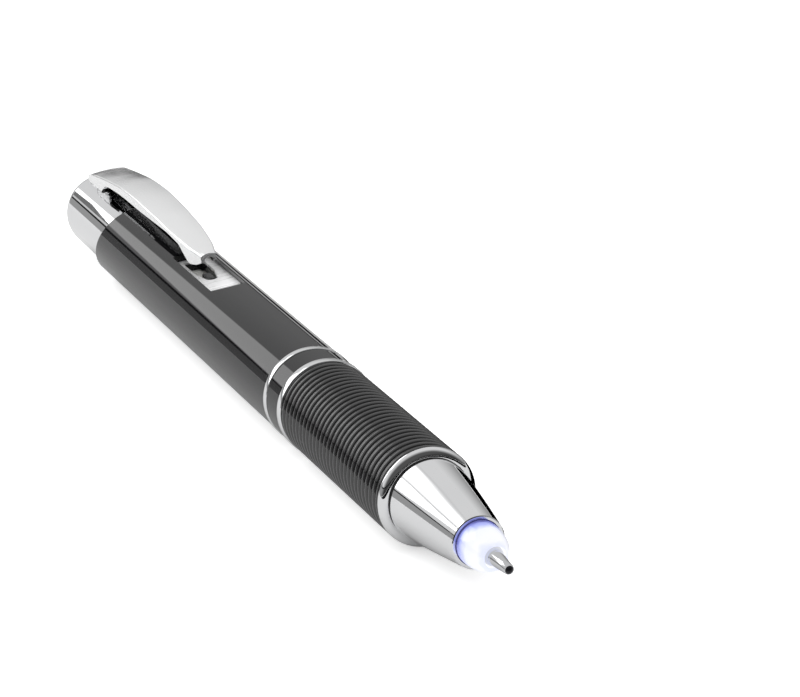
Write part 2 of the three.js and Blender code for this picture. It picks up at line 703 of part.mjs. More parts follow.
// The chrome nose: a rounded shoulder, a fine groove and a cone, with a spigot inside the section tube.
function noseCone() {
  const spigotBore = SPIGOT_RADIUS - SPIGOT_WALL;
  const grooveFront = NOSE_SHOULDER + NOSE_GROOVE_WIDTH;
  const grooveFloor = NOSE_NECK_RADIUS - NOSE_GROOVE_DEPTH;
  const seatRear = NOSE_LENGTH - LENS_SEAT;
  const seatBore = LENS_REAR_RADIUS + PRESS_FIT;
  const root = NOSE_SHOULDER + NOSE_ROOT_LENGTH;
  const profile = [[-SPIGOT_LENGTH, spigotBore], [-SPIGOT_LENGTH, SPIGOT_RADIUS], [0, SPIGOT_RADIUS]];
  for (let i = 0; i <= CORNER_STEPS; i += 1) {
    const angle = (i / CORNER_STEPS) * (Math.PI / 2);
    const drop = (BARREL_RADIUS - NOSE_NECK_RADIUS) * (1 - Math.cos(angle));
    profile.push([NOSE_SHOULDER * Math.sin(angle), BARREL_RADIUS - drop]);
  }
  profile.push([NOSE_SHOULDER, grooveFloor], [grooveFront, grooveFloor]);
  profile.push([grooveFront, NOSE_NECK_RADIUS], [NOSE_LENGTH, NOSE_RIM_RADIUS]);
  profile.push([NOSE_LENGTH, seatBore], [seatRear, seatBore]);
  profile.push([seatRear, noseRadius(seatRear) - NOSE_WALL]);
  profile.push([root, noseRadius(root) - NOSE_WALL - NOSE_ROOT_EXTRA], [0, spigotBore]);
  return revolve(profile);
}

// The lens's outline ahead of the rim: the share of its reach, and the share of its width that is left.
const LENS_CURVE = [[0.25, 0.97], [0.5, 0.86], [0.75, 0.62], [0.92, 0.25], [1, 0]];

// The lamp's lens: a thick clear ring in the nose's rim whose outside curves in to the refill.
function lampLensRing() {
  const rear = NOSE_LENGTH - LENS_SEAT + BUTT_GAP;
  const profile = [[rear, REFILL_BORE], [rear, LENS_REAR_RADIUS], [NOSE_LENGTH, LENS_REAR_RADIUS]];
  for (const [reach, width] of LENS_CURVE) {
    const radius = LENS_FRONT_RADIUS + (LENS_REAR_RADIUS - LENS_FRONT_RADIUS) * width;
    profile.push([NOSE_LENGTH + LENS_REACH * reach, radius]);
  }
  profile.push([LENS_FRONT, REFILL_BORE]);
  return revolve(profile);
}

function lampBoard() {
  return tube(BOARD_REAR, BOARD_REAR + BOARD_THICKNESS, BOARD_RADIUS, REFILL_BORE + BOARD_FIT, MIDDLE_SIDES);
}

const LED_SIZE = 1.1;
const LED_HEIGHT = 0.9;
const LED_SET_OUT = 0.3;

// One lamp chip on the board; the two stand on opposite sides of the refill.
function lampChip(side) {
  const middle = side * (REFILL_BORE + LED_SET_OUT + LED_SIZE / 2);
  const rear = BOARD_REAR + BOARD_THICKNESS + BUTT_GAP;
  const half = LED_SIZE / 2;
  return block(rear, rear + LED_HEIGHT, middle - half, middle + half, -half, half);
}

const BUSH_FLANGE = 0.6;
const BUSH_LENGTH = 3.5;
const BUSH_WALL = 0.35;

// The brass bush behind the board: it touches the refill and seats the return spring.
function contactBush() {
  const front = BOARD_REAR - BUTT_GAP;
  return revolve(
    [
      [front - BUSH_LENGTH, REFILL_BORE],
      [front - BUSH_LENGTH, REFILL_BORE + BUSH_WALL],
      [front - BUSH_FLANGE, REFILL_BORE + BUSH_WALL],
      [front - BUSH_FLANGE, BOARD_RADIUS],
      [front, BOARD_RADIUS],
      [front, REFILL_BORE],
    ],
    MIDDLE_SIDES,
  );
}

const COLLAR_STATION = -12.0;
const COLLAR_LENGTH = 2.7;
const COLLAR_RADIUS = 2.3;
const SPRING_WIRE = 0.2;
const SPRING_TURNS = 8;

function returnSpring() {
  const radius = REFILL_BORE + BUSH_WALL + SPRING_WIRE + SLIDE_FIT;
  const rear = COLLAR_STATION + COLLAR_LENGTH + SPRING_WIRE + BUTT_GAP;
  const front = BOARD_REAR - BUTT_GAP - BUSH_FLANGE - SPRING_WIRE - BUTT_GAP;
  return wire(helix(rear, front, radius, radius, SPRING_TURNS), SPRING_WIRE);
}

// The seal between the front section's shoulder and the barrel's front end.
function jointSeal() {
  const front = TUBE_FRONT + SEAL_WIDTH - BUTT_GAP;
  return tube(TUBE_FRONT + BUTT_GAP, front, SECTION_RADIUS, TAIL_RADIUS + PRESS_FIT);
}

// ---- Refill -----------------------------------------------------------------------------------------------

const TIP_SEAT = TIP_END - TIP_CONE_LENGTH;
const TIP_STEP_REAR = 0.6;
const TIP_STEP_FRONT = 0.3;
const TIP_LIP = 0.1;
const BALL_SHOWN = 0.3;
const BALL_STATION = TIP_END - BALL_RADIUS;

function refillTube() {
  return disc(REFILL_REAR, TIP_SEAT - BUTT_GAP, REFILL_RADIUS, SMALL_SIDES);
}

// The refill's metal tip: it narrows in two steps and ends in the socket that holds the ball.
function refillTip() {
  const step = TIP_END - TIP_REACH;
  const lip = TIP_END - BALL_SHOWN;
  const cup = BALL_RADIUS + BALL_FIT;
  const socket = Math.sqrt(BALL_RADIUS ** 2 - (lip - BALL_STATION) ** 2) + BALL_FIT;
  return revolve(
    [
      [TIP_SEAT, 0],
      [TIP_SEAT, REFILL_RADIUS],
      [step - TIP_STEP_REAR, REFILL_RADIUS],
      [step + TIP_STEP_FRONT, TIP_NECK_RADIUS],
      [lip, socket + TIP_LIP],
      [lip, socket],
      [BALL_STATION, cup],
      [BALL_STATION - cup * Math.SQRT1_2, cup * Math.SQRT1_2 + BALL_FIT],
      [BALL_STATION - cup - BALL_FIT, 0],
    ],
    SMALL_SIDES,
  );
}

function writingBall() {
  return new THREE.SphereGeometry(BALL_RADIUS, 12, 8).translate(BALL_STATION, 0, 0);
}

function refillCollar() {
  const front = COLLAR_STATION + COLLAR_LENGTH;
  return tube(COLLAR_STATION, front, COLLAR_RADIUS, REFILL_RADIUS + PRESS_FIT, SMALL_SIDES);
}

// ---- Assembly ---------------------------------------------------------------------------------------------

const pen = new THREE.Group();
pen.position.set(-MIDDLE, 0, RING_RADIUS);

function place(name, geometry, material) {
  const mesh = new THREE.Mesh(geometry, material());
  mesh.name = name;
  pen.add(mesh);
}

place("barrel_tube", barrelTube(), blackLacquer);
place("rear_chrome_ring", rearRing(), chrome);
place("coupling_insert", couplingInsert(), blackPlastic);
place("guide_sleeve", guideSleeve(), blackPlastic);
place("slot_plate", slotPlate(), chrome);

place("cap_shell", capShell(), chrome);
place("cap_insert", capInsert(), blackPlastic);
place("friction_ring", frictionRing(), blackRubber);
place("push_rod", pushRod(), whitePlastic);
place("slide_key", slideKey(), blackPlastic);
place("cell_holder", cellHolder(), blackPlastic);
for (let i = 0; i < CELL_COUNT; i += 1) {
  place(`button_cell_${i + 1}`, buttonCell(i), cellSteel);
}
place("cell_spring", cellSpring(), springSteel);
place("contact_stud", contactStud(), brass);

place("clip", clip(), satinChrome);
place("clip_pin", clipPin(), springSteel);
place("clip_lug", clipLug(), chrome);
place("clip_spring", clipSpring(), springSteel);

place("section_tube", sectionTube(), blackPlastic);
place("joint_seal", jointSeal(), blackRubber);
place("joint_band", jointBand(), blackLacquer);
place("front_chrome_ring", frontRing(), chrome);
place("grip_sleeve", gripSleeve(), blackRubber);
place("nose_cone", noseCone(), chrome);
place("lamp_lens", lampLensRing(), lampLens);
place("lamp_board", lampBoard(), boardGreen);
place("uv_led_left", lampChip(1), whitePlastic);
place("uv_led_right", lampChip(-1), whitePlastic);
place("contact_bush", contactBush(), brass);
place("return_spring", returnSpring(), springSteel);

place("refill_tube", refillTube(), brass);
place("refill_collar", refillCollar(), brass);
place("refill_tip", refillTip(), springSteel);
place("writing_ball", writingBall(), springSteel);

export default pen;
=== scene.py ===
"""Looks of the counterfeit detector pen: fine pieces, procedural finishes, studio and camera.

Lengths in the classes are millimetres. Meshes are metres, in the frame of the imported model: the pen lies
along X with its writing tip toward +X, its clip on top and the surface it rests on at height zero.
"""

import logging
import math
from dataclasses import dataclass
from enum import Enum
from typing import Callable, Iterable, Sequence

import bmesh
import bpy
from mathutils import Matrix, Vector


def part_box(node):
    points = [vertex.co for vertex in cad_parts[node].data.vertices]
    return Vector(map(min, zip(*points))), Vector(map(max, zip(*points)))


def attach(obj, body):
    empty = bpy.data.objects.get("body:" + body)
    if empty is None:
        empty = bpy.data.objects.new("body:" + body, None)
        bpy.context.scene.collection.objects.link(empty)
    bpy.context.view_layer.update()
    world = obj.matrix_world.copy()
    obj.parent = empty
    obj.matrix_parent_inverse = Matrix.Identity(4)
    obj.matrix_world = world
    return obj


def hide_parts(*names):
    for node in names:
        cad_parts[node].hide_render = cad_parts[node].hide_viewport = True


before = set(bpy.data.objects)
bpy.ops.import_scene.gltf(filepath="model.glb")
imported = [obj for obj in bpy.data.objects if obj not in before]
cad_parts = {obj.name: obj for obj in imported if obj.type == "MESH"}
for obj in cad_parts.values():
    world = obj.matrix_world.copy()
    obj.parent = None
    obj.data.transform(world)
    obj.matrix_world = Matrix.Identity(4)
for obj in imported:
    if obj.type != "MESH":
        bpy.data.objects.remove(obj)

MM = 0.001
ROUND_SIDES = 128
SMOOTH_ANGLE = math.radians(32)
MERGE_DISTANCE = 1e-7  # Metres: vertices closer than this become one.
SKIN_TOLERANCE = 0.02  # How far a vertex may lie off a cylinder and still be part of its skin.
BEVEL_ANGLE = math.radians(40)
CORNER_SHARE = 0.45  # The most of an edge that the rounding of one corner takes up.
SPECK_ROUGHNESS = 0.3
SCUFF_ROUGHNESS = 0.12
SCUFF_SCALE = 1800.0
SCUFF_CUT = 0.55  # The noise value above which a handling mark shows.
LOG = logging.getLogger("detector_pen")
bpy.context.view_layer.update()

Point = tuple[float, float]
Colour = tuple[float, float, float]


class Body(Enum):
    """The moving bodies of the pen."""

    BARREL = "barrel"
    PLUNGER = "plunger"
    CLIP = "clip"
    FRONT = "front_section"
    REFILL = "refill"
    BALL = "ball"


class Slot(Enum):
    """The material slots of the record."""

    LACQUER = "black_lacquer"
    CHROME = "chrome"
    SATIN = "satin_chrome"
    PLASTIC = "black_plastic"
    RUBBER = "black_rubber"
    GRIP = "black_grip"
    WHITE = "white_plastic"
    CELL = "cell_steel"
    SPRING = "spring_steel"
    BRASS = "brass"
    LENS = "lamp_lens"
    BOARD = "circuit_board"
    LAMP = "lamp_chip"
    TIP = "tip_metal"
    BALL = "ball_metal"


@dataclass(frozen=True)
class Span:
    """Where a CAD node starts and ends along the pen, and how far it stands off the axis, in millimetres."""

    rear: float
    front: float
    radius: float

    @classmethod
    def of(cls, node: str) -> "Span":
        """The span of a round CAD node."""
        low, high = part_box(node)
        return cls(low.x / MM, high.x / MM, (high.y - low.y) / 2 / MM)

    @property
    def length(self) -> float:
        """The length along the pen."""
        return self.front - self.rear


def axis_height() -> float:
    """The height of the pen's axis above the surface it rests on, in millimetres."""
    low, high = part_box("rear_chrome_ring")
    return (low.z + high.z) / 2 / MM


AXIS = axis_height()


@dataclass(frozen=True)
class Course:
    """A value that changes along the pen, through given knots, without overshooting between them."""

    knots: tuple[Point, ...]

    def _slopes(self) -> list[float]:
        """The slope at each knot."""
        steps = [(b[1] - a[1]) / (b[0] - a[0]) for a, b in zip(self.knots, self.knots[1:])]
        slopes = [steps[0]]
        for before, after in zip(steps, steps[1:]):
            slopes.append(0.0 if before * after <= 0 else 2 * before * after / (before + after))
        return [*slopes, steps[-1]]

    def at(self, place: float) -> float:
        """The value at a place.

        Args:
            place: Where along the course.

        Returns:
            The value there, held at the ends.
        """
        knots = self.knots
        if place <= knots[0][0]:
            return knots[0][1]
        if place >= knots[-1][0]:
            return knots[-1][1]
        slopes = self._slopes()
        index = max(i for i in range(len(knots) - 1) if knots[i][0] <= place)
        (x0, y0), (x1, y1) = knots[index], knots[index + 1]
        width = x1 - x0
        t = (place - x0) / width
        rise = y0 * (1 + 2 * t) * (1 - t) ** 2 + y1 * t * t * (3 - 2 * t)
        return rise + width * (slopes[index] * t * (1 - t) ** 2 - slopes[index + 1] * t * t * (1 - t))


def softened(profile: Sequence[Point], radius: float, steps: int = 3) -> list[Point]:
    """A profile with each corner off the axis rounded.

    Args:
        profile: Stations and radii; it closes on itself unless its ends lie on the axis.
        radius: How far from the corner the rounding starts.
        steps: How many edges each rounding gets.

    Returns:
        The rounded profile.
    """
    open_ended = profile[0][1] == 0 and profile[-1][1] == 0
    made: list[Point] = []
    count = len(profile)
    for i, corner in enumerate(profile):
        if open_ended and i in (0, count - 1):
            made.append(corner)
            continue
        before, after = Vector(profile[i - 1]), Vector(profile[(i + 1) % count])
        here = Vector(corner)
        start = here + (before - here) * min(radius / (before - here).length, CORNER_SHARE)
        end = here + (after - here) * min(radius / (after - here).length, CORNER_SHARE)
        for j in range(steps + 1):
            t = j / steps
            point = start * (1 - t) ** 2 + here * 2 * t * (1 - t) + end * t * t
            made.append((point.x, point.y))
    return made


def quarter(station: float, radius: float, reach: float, drop: float, steps: int = 10) -> list[Point]:
    """A quarter of an ellipse from a cylinder's edge toward the front.

    Args:
        station: Where the curve leaves the cylinder.
        radius: The cylinder's radius.
        reach: How far the curve goes along the pen.
        drop: How far its radius falls.
        steps: How many edges the curve has.

    Returns:
        The curve's stations and radii, from rear to front.
    """
    angles = [math.pi / 2 * i / steps for i in range(steps + 1)]
    return [(station + reach * math.sin(a), radius - drop * (1 - math.cos(a))) for a in angles]


class Bench:
    """Makes meshes out of profiles, sections and cuts."""

    @staticmethod
    def solid(
        name: str, points: Iterable[Sequence[float]], faces: Sequence[Sequence[int]]
    ) -> bpy.types.Object:
        """A closed body from millimetre points about the pen's axis.

        Args:
            name: The object's name.
            points: Station, side and height above the axis of each vertex.
            faces: The vertices of each face.

        Returns:
            The object, smooth-shaded up to the sharp angle.
        """
        mesh = bpy.data.meshes.new(name)
        mesh.from_pydata([Vector((x, y, z + AXIS)) * MM for x, y, z in points], [], faces)
        bm = bmesh.new()
        bm.from_mesh(mesh)
        bmesh.ops.remove_doubles(bm, verts=bm.verts, dist=MERGE_DISTANCE)
        bmesh.ops.recalc_face_normals(bm, faces=bm.faces)
        bm.to_mesh(mesh)
        bm.free()
        piece = bpy.data.objects.new(name, mesh)
        bpy.context.scene.collection.objects.link(piece)
        Bench.smooth(piece)
        if faces:
            Bench.flatten_shading(piece)
        return piece

    @staticmethod
    def flatten_shading(piece: bpy.types.Object) -> None:
        """Lets the wide faces of a piece set its shading, so that narrow roundings don't bend reflections."""
        weights = piece.modifiers.new("weights", "WEIGHTED_NORMAL")
        weights.mode = "FACE_AREA"
        weights.weight = 50
        weights.keep_sharp = True
        Bench.settle(piece)

    @staticmethod
    def smooth(piece: bpy.types.Object) -> None:
        """Shades a piece smooth but for its sharp edges."""
        piece.data.polygons.foreach_set("use_smooth", [True] * len(piece.data.polygons))
        piece.data.set_sharp_from_angle(angle=SMOOTH_ANGLE)

    @staticmethod
    def revolve(name: str, profile: Sequence[Point], sides: int = ROUND_SIDES) -> bpy.types.Object:
        """A body of revolution about the pen's axis.

        Args:
            name: The object's name.
            profile: Stations and radii; it closes on itself unless its ends lie on the axis.
            sides: How many sides the body has round the axis.

        Returns:
            The object.
        """
        points: list[tuple[float, float, float]] = []
        rings: list[list[int]] = []
        for station, radius in profile:
            turns = 1 if radius == 0 else sides
            rings.append([len(points) + i for i in range(turns)])
            for i in range(turns):
                angle = 2 * math.pi * i / sides
                points.append((station, radius * math.sin(angle), radius * math.cos(angle)))
        pairs = list(zip(rings, rings[1:]))
        if len(rings[0]) > 1:
            pairs.append((rings[-1], rings[0]))
        faces = []
        for first, second in pairs:
            for i in range(sides):
                j = (i + 1) % sides
                corners = [
                    first[i % len(first)], first[j % len(first)], second[j % len(second)],
                    second[i % len(second)]
                ]
                faces.append(list(dict.fromkeys(corners)))
        return Bench.solid(name, points, [face for face in faces if len(face) > 2])

    @staticmethod
    def loft(name: str, sections: Sequence[Sequence[Sequence[float]]]) -> bpy.types.Object:
        """A body through closed sections of equal count, closed at both ends.

        Args:
            name: The object's name.
            sections: The points of each section, in order along the body.

        Returns:
            The object.
        """
        count = len(sections[0])
        points = [point for section in sections for point in section]
        faces: list[list[int]] = [list(range(count)), [len(points) - count + i for i in range(count)]]
        for row in range(len(sections) - 1):
            for i in range(count):
                j = (i + 1) % count
                faces.append([row * count + i, row * count + j, (row + 1) * count + j, (row + 1) * count + i])
        return Bench.solid(name, points, faces)

    @staticmethod
    def prism(
        name: str, outline: Sequence[Point], low: float, high: float, upright: bool
    ) -> bpy.types.Object:
        """An outline pulled out into a slab.

        Args:
            name: The object's name.
            outline: Station and height of each corner, or station and side if upright.
            low: Where the slab starts, across the pen or above the axis.
            high: Where it ends.
            upright: Whether the outline is a plan that is pulled up.

        Returns:
            The object.
        """
        place: Callable[[Point, float], tuple[float, float, float]]
        place = (lambda p, d: (p[0], p[1], d)) if upright else (lambda p, d: (p[0], d, p[1]))
        return Bench.loft(name, [[place(point, depth) for point in outline] for depth in (low, high)])

    @staticmethod
    def settle(piece: bpy.types.Object) -> None:
        """Turns a piece and its modifiers into a plain mesh."""
        shown = piece.evaluated_get(bpy.context.evaluated_depsgraph_get())
        mesh = bpy.data.meshes.new_from_object(shown)
        piece.modifiers.clear()
        piece.data = mesh

    @staticmethod
    def carve(piece: bpy.types.Object, tool: bpy.types.Object, operation: str = "DIFFERENCE") -> None:
        """Cuts a piece with a tool, or keeps what they share, and removes the tool.

        Args:
            piece: The piece that is changed.
            tool: The cutting body.
            operation: The name of the boolean operation.
        """
        cut = piece.modifiers.new("carve", "BOOLEAN")
        cut.operation = operation
        cut.solver = "EXACT"
        cut.object = tool
        Bench.settle(piece)
        bpy.data.objects.remove(tool)
        Bench.smooth(piece)

    @staticmethod
    def bevel(piece: bpy.types.Object, width: float, segments: int = 3) -> None:
        """Rounds the sharp edges of a piece.

        Args:
            piece: The piece that is changed.
            width: The width of the rounding.
            segments: How many edges it has.
        """
        rounding = piece.modifiers.new("rounding", "BEVEL")
        rounding.width = width * MM
        rounding.segments = segments
        rounding.limit_method = "ANGLE"
        rounding.angle_limit = BEVEL_ANGLE
        Bench.settle(piece)
        Bench.smooth(piece)
        Bench.flatten_shading(piece)

    @staticmethod
    def true_round(piece: bpy.types.Object, radius: float) -> None:
        """Gives the outer round skin of a cut tube the normals of a true cylinder.

        Args:
            piece: The cut tube.
            radius: The radius of its outer skin.
        """
        mesh = piece.data
        normals = [Vector(corner.vector) for corner in mesh.corner_normals]
        for face in mesh.polygons:
            corners = [mesh.vertices[v].co / MM - Vector((0, 0, AXIS)) for v in face.vertices]
            if all(abs(math.hypot(c.y, c.z) - radius) < SKIN_TOLERANCE for c in corners):
                for loop, c in zip(face.loop_indices, corners):
                    normals[loop] = Vector((0, c.y, c.z)).normalized()
        mesh.normals_split_custom_set([tuple(normal) for normal in normals])


# ---- Finishes ---------------------------------------------------------------------------------------------


class Wiring:
    """Adds nodes to a tree and joins them."""

    def __init__(self, tree: bpy.types.NodeTree) -> None:
        """Starts on an emptied tree."""
        self.tree = tree
        tree.nodes.clear()

    def node(self, kind: str, **settings: object) -> bpy.types.Node:
        """A new node with the given settings.

        Args:
            kind: The node's type name.
            **settings: The node's own properties, or in_NAME for the value of an input.

        Returns:
            The node.
        """
        made = self.tree.nodes.new(kind)
        for key, value in settings.items():
            if key.startswith("in_"):
                made.inputs[key[3:].replace("_", " ")].default_value = value
            else:
                setattr(made, key, value)
        return made

    def link(self, source: bpy.types.NodeSocket, target: bpy.types.NodeSocket) -> None:
        """Joins two sockets."""
        self.tree.links.new(source, target)

    def math(self, operation: str, *values: object) -> bpy.types.NodeSocket:
        """The result of a Math node.

        Args:
            operation: The node's operation.
            *values: Its inputs: sockets or numbers.

        Returns:
            The output socket.
        """
        made = self.node("ShaderNodeMath", operation=operation)
        for socket, value in zip(made.inputs, values):
            if isinstance(value, bpy.types.NodeSocket):
                self.link(value, socket)
            else:
                socket.default_value = value
        return made.outputs[0]


class Group(Enum):
    """The effects that the finishes share."""

    TONE = "tone_drift"
    ROUGHNESS = "roughness_drift"
    GRAIN = "fine_grain"
    SPECKS = "dust_specks"
    SCUFF = "edge_scuff"


class Effects:
    """Builds each shared effect once, as a node group."""

    def __init__(self) -> None:
        """Starts with no group built."""
        self._built: dict[Group, bpy.types.NodeTree] = {}

    def get(self, group: Group) -> bpy.types.NodeTree:
        """The node group of an effect, built the first time it is asked for."""
        if group not in self._built:
            tree = bpy.data.node_groups.new(group.value, "ShaderNodeTree")
            wiring = Wiring(tree)
            builders = {
                Group.TONE: self._tone,
                Group.ROUGHNESS: self._roughness,
                Group.GRAIN: self._grain,
                Group.SPECKS: self._specks,
                Group.SCUFF: self._scuff,
            }
            builders[group](wiring)
            self._built[group] = tree
        return self._built[group]

    @staticmethod
    def _sockets(tree: bpy.types.NodeTree, inputs: dict[str, str], output: tuple[str, str]) -> None:
        """Gives a group its named inputs and its output."""
        for name, kind in inputs.items():
            tree.interface.new_socket(name, in_out="INPUT", socket_type=kind)
        tree.interface.new_socket(output[0], in_out="OUTPUT", socket_type=output[1])

    def _tone(self, w: Wiring) -> None:
        """A colour that drifts between two tones."""
        kinds = {
            "Vector": "NodeSocketVector", "Scale": "NodeSocketFloat", "Near": "NodeSocketColor",
            "Far": "NodeSocketColor"
        }
        self._sockets(w.tree, kinds, ("Color", "NodeSocketColor"))
        given, result = w.node("NodeGroupInput"), w.node("NodeGroupOutput")
        noise = w.node("ShaderNodeTexNoise", in_Detail=4.0)
        w.link(given.outputs["Vector"], noise.inputs["Vector"])
        w.link(given.outputs["Scale"], noise.inputs["Scale"])
        mix = w.node("ShaderNodeMix", data_type="RGBA")
        w.link(noise.outputs["Fac"], mix.inputs[0])
        w.link(given.outputs["Near"], mix.inputs[6])
        w.link(given.outputs["Far"], mix.inputs[7])
        w.link(mix.outputs[2], result.inputs[0])

    def _roughness(self, w: Wiring) -> None:
        """A roughness that drifts between two values."""
        kinds = {
            "Vector": "NodeSocketVector", "Scale": "NodeSocketFloat", "Low": "NodeSocketFloat",
            "High": "NodeSocketFloat"
        }
        self._sockets(w.tree, kinds, ("Roughness", "NodeSocketFloat"))
        given, result = w.node("NodeGroupInput"), w.node("NodeGroupOutput")
        noise = w.node("ShaderNodeTexNoise", in_Detail=5.0, in_Roughness=0.6)
        w.link(given.outputs["Vector"], noise.inputs["Vector"])
        w.link(given.outputs["Scale"], noise.inputs["Scale"])
        spread = w.node("ShaderNodeMapRange", clamp=True)
        spread.inputs["From Min"].default_value = 0.3
        spread.inputs["From Max"].default_value = 0.7
        w.link(noise.outputs["Fac"], spread.inputs["Value"])
        w.link(given.outputs["Low"], spread.inputs["To Min"])
        w.link(given.outputs["High"], spread.inputs["To Max"])
        w.link(spread.outputs["Result"], result.inputs[0])

    def _grain(self, w: Wiring) -> None:
        """A fine height: moulded grain, or fine waves where the vector is stretched."""
        kinds = {"Vector": "NodeSocketVector", "Scale": "NodeSocketFloat"}
        self._sockets(w.tree, kinds, ("Height", "NodeSocketFloat"))
        given, result = w.node("NodeGroupInput"), w.node("NodeGroupOutput")
        noise = w.node("ShaderNodeTexNoise", in_Detail=3.0, in_Roughness=0.55)
        w.link(given.outputs["Vector"], noise.inputs["Vector"])
        w.link(given.outputs["Scale"], noise.inputs["Scale"])
        w.link(noise.outputs["Fac"], result.inputs[0])

    def _specks(self, w: Wiring) -> None:
        """A mask of a few tiny specks."""
        kinds = {
            "Vector": "NodeSocketVector", "Scale": "NodeSocketFloat", "Size": "NodeSocketFloat",
            "Share": "NodeSocketFloat"
        }
        self._sockets(w.tree, kinds, ("Mask", "NodeSocketFloat"))
        given, result = w.node("NodeGroupInput"), w.node("NodeGroupOutput")
        cells = w.node("ShaderNodeTexVoronoi", in_Randomness=1.0)
        w.link(given.outputs["Vector"], cells.inputs["Vector"])
        w.link(given.outputs["Scale"], cells.inputs["Scale"])
        apart = w.node("ShaderNodeSeparateColor")
        w.link(cells.outputs["Color"], apart.inputs[0])
        chosen = w.math("LESS_THAN", apart.outputs[0], given.outputs["Share"])
        inside = w.math("LESS_THAN", cells.outputs["Distance"], given.outputs["Size"])
        w.link(w.math("MULTIPLY", chosen, inside), result.inputs[0])

    def _scuff(self, w: Wiring) -> None:
        """A broken mask of handling marks that is strongest at one station along the pen."""
        kinds = {
            "Vector": "NodeSocketVector",
            "Station": "NodeSocketFloat",
            "Width": "NodeSocketFloat",
            "Scale": "NodeSocketFloat",
        }
        self._sockets(w.tree, kinds, ("Mask", "NodeSocketFloat"))
        given, result = w.node("NodeGroupInput"), w.node("NodeGroupOutput")
        axes = w.node("ShaderNodeSeparateXYZ")
        w.link(given.outputs["Vector"], axes.inputs[0])
        away = w.math("ABSOLUTE", w.math("SUBTRACT", axes.outputs[0], given.outputs["Station"]))
        close = w.math("SUBTRACT", 1.0, w.math("DIVIDE", away, given.outputs["Width"]))
        near = w.math("MAXIMUM", close, 0.0)
        noise = w.node("ShaderNodeTexNoise", in_Detail=6.0, in_Roughness=0.7)
        w.link(given.outputs["Vector"], noise.inputs["Vector"])
        w.link(given.outputs["Scale"], noise.inputs["Scale"])
        broken = w.math("GREATER_THAN", noise.outputs["Fac"], SCUFF_CUT)
        w.link(w.math("MULTIPLY", near, broken), result.inputs[0])


@dataclass(frozen=True)
class Finish:
    """A hard finish: its tones, gloss, grain, specks and handling marks."""

    name: str
    near: Colour
    far: Colour
    metallic: float = 0.0
    low_roughness: float = 0.05
    high_roughness: float = 0.09
    coat: float = 0.0
    ior: float = 1.48
    drift_scale: float = 220.0
    grain_scale: float = 2500.0
    grain_height: float = 0.0
    stretch: tuple[float, float, float] = (1.0, 1.0, 1.0)
    speck_share: float = 0.0
    speck_size: float = 0.12
    speck_scale: float = 1400.0
    speck_tone: Colour = (0.5, 0.5, 0.5)
    scuff_station: float = 0.0
    scuff_width: float = 0.0

    def build(self, effects: Effects) -> bpy.types.Material:
        """The material of this finish.

        Args:
            effects: The shared effect groups.

        Returns:
            The node material.
        """
        material = bpy.data.materials.new(self.name)
        material.use_nodes = True
        w = Wiring(material.node_tree)
        output = w.node("ShaderNodeOutputMaterial")
        shader = w.node("ShaderNodeBsdfPrincipled", in_Metallic=self.metallic, in_IOR=self.ior)
        shader.inputs["Coat Weight"].default_value = self.coat
        shader.inputs["Coat Roughness"].default_value = 0.02
        w.link(shader.outputs[0], output.inputs[0])
        place = w.node("ShaderNodeTexCoord")
        mapping = w.node("ShaderNodeMapping", in_Scale=self.stretch)
        w.link(place.outputs["Object"], mapping.inputs["Vector"])
        spot = mapping.outputs[0]
        tone = self._group(
            w, effects, Group.TONE, spot, Scale=self.drift_scale, Near=(*self.near, 1), Far=(*self.far, 1)
        )
        rough = self._group(
            w, effects, Group.ROUGHNESS, spot,
            Scale=self.drift_scale * 3, Low=self.low_roughness, High=self.high_roughness,
        )  # fmt: skip
        if self.speck_share:
            mask = self._group(
                w, effects, Group.SPECKS, place.outputs["Object"],
                Scale=self.speck_scale, Size=self.speck_size, Share=self.speck_share,
            )  # fmt: skip
            mix = w.node("ShaderNodeMix", data_type="RGBA")
            w.link(mask, mix.inputs[0])
            w.link(tone, mix.inputs[6])
            mix.inputs[7].default_value = (*self.speck_tone, 1)
            tone = mix.outputs[2]
            rough = w.math("ADD", rough, w.math("MULTIPLY", mask, SPECK_ROUGHNESS))
        if self.scuff_width:
            marks = self._group(
                w, effects, Group.SCUFF, place.outputs["Object"],
                Station=self.scuff_station * MM, Width=self.scuff_width * MM, Scale=SCUFF_SCALE,
            )  # fmt: skip
            rough = w.math("ADD", rough, w.math("MULTIPLY", marks, SCUFF_ROUGHNESS))
        w.link(tone, shader.inputs["Base Color"])
        w.link(rough, shader.inputs["Roughness"])
        if self.grain_height:
            height = self._group(w, effects, Group.GRAIN, spot, Scale=self.grain_scale)
            bump = w.node("ShaderNodeBump", in_Strength=1.0, in_Distance=self.grain_height * MM)
            w.link(height, bump.inputs["Height"])
            w.link(bump.outputs[0], shader.inputs["Normal"])
        return material

    @staticmethod
    def _group(
        w: Wiring, effects: Effects, group: Group, vector: bpy.types.NodeSocket, **values: object
    ) -> bpy.types.NodeSocket:
        """A placed effect group with its own values; returns its output."""
        made = w.node("ShaderNodeGroup", node_tree=effects.get(group))
        w.link(vector, made.inputs["Vector"])
        for name, value in values.items():
            made.inputs[name].default_value = value
        return made.outputs[0]


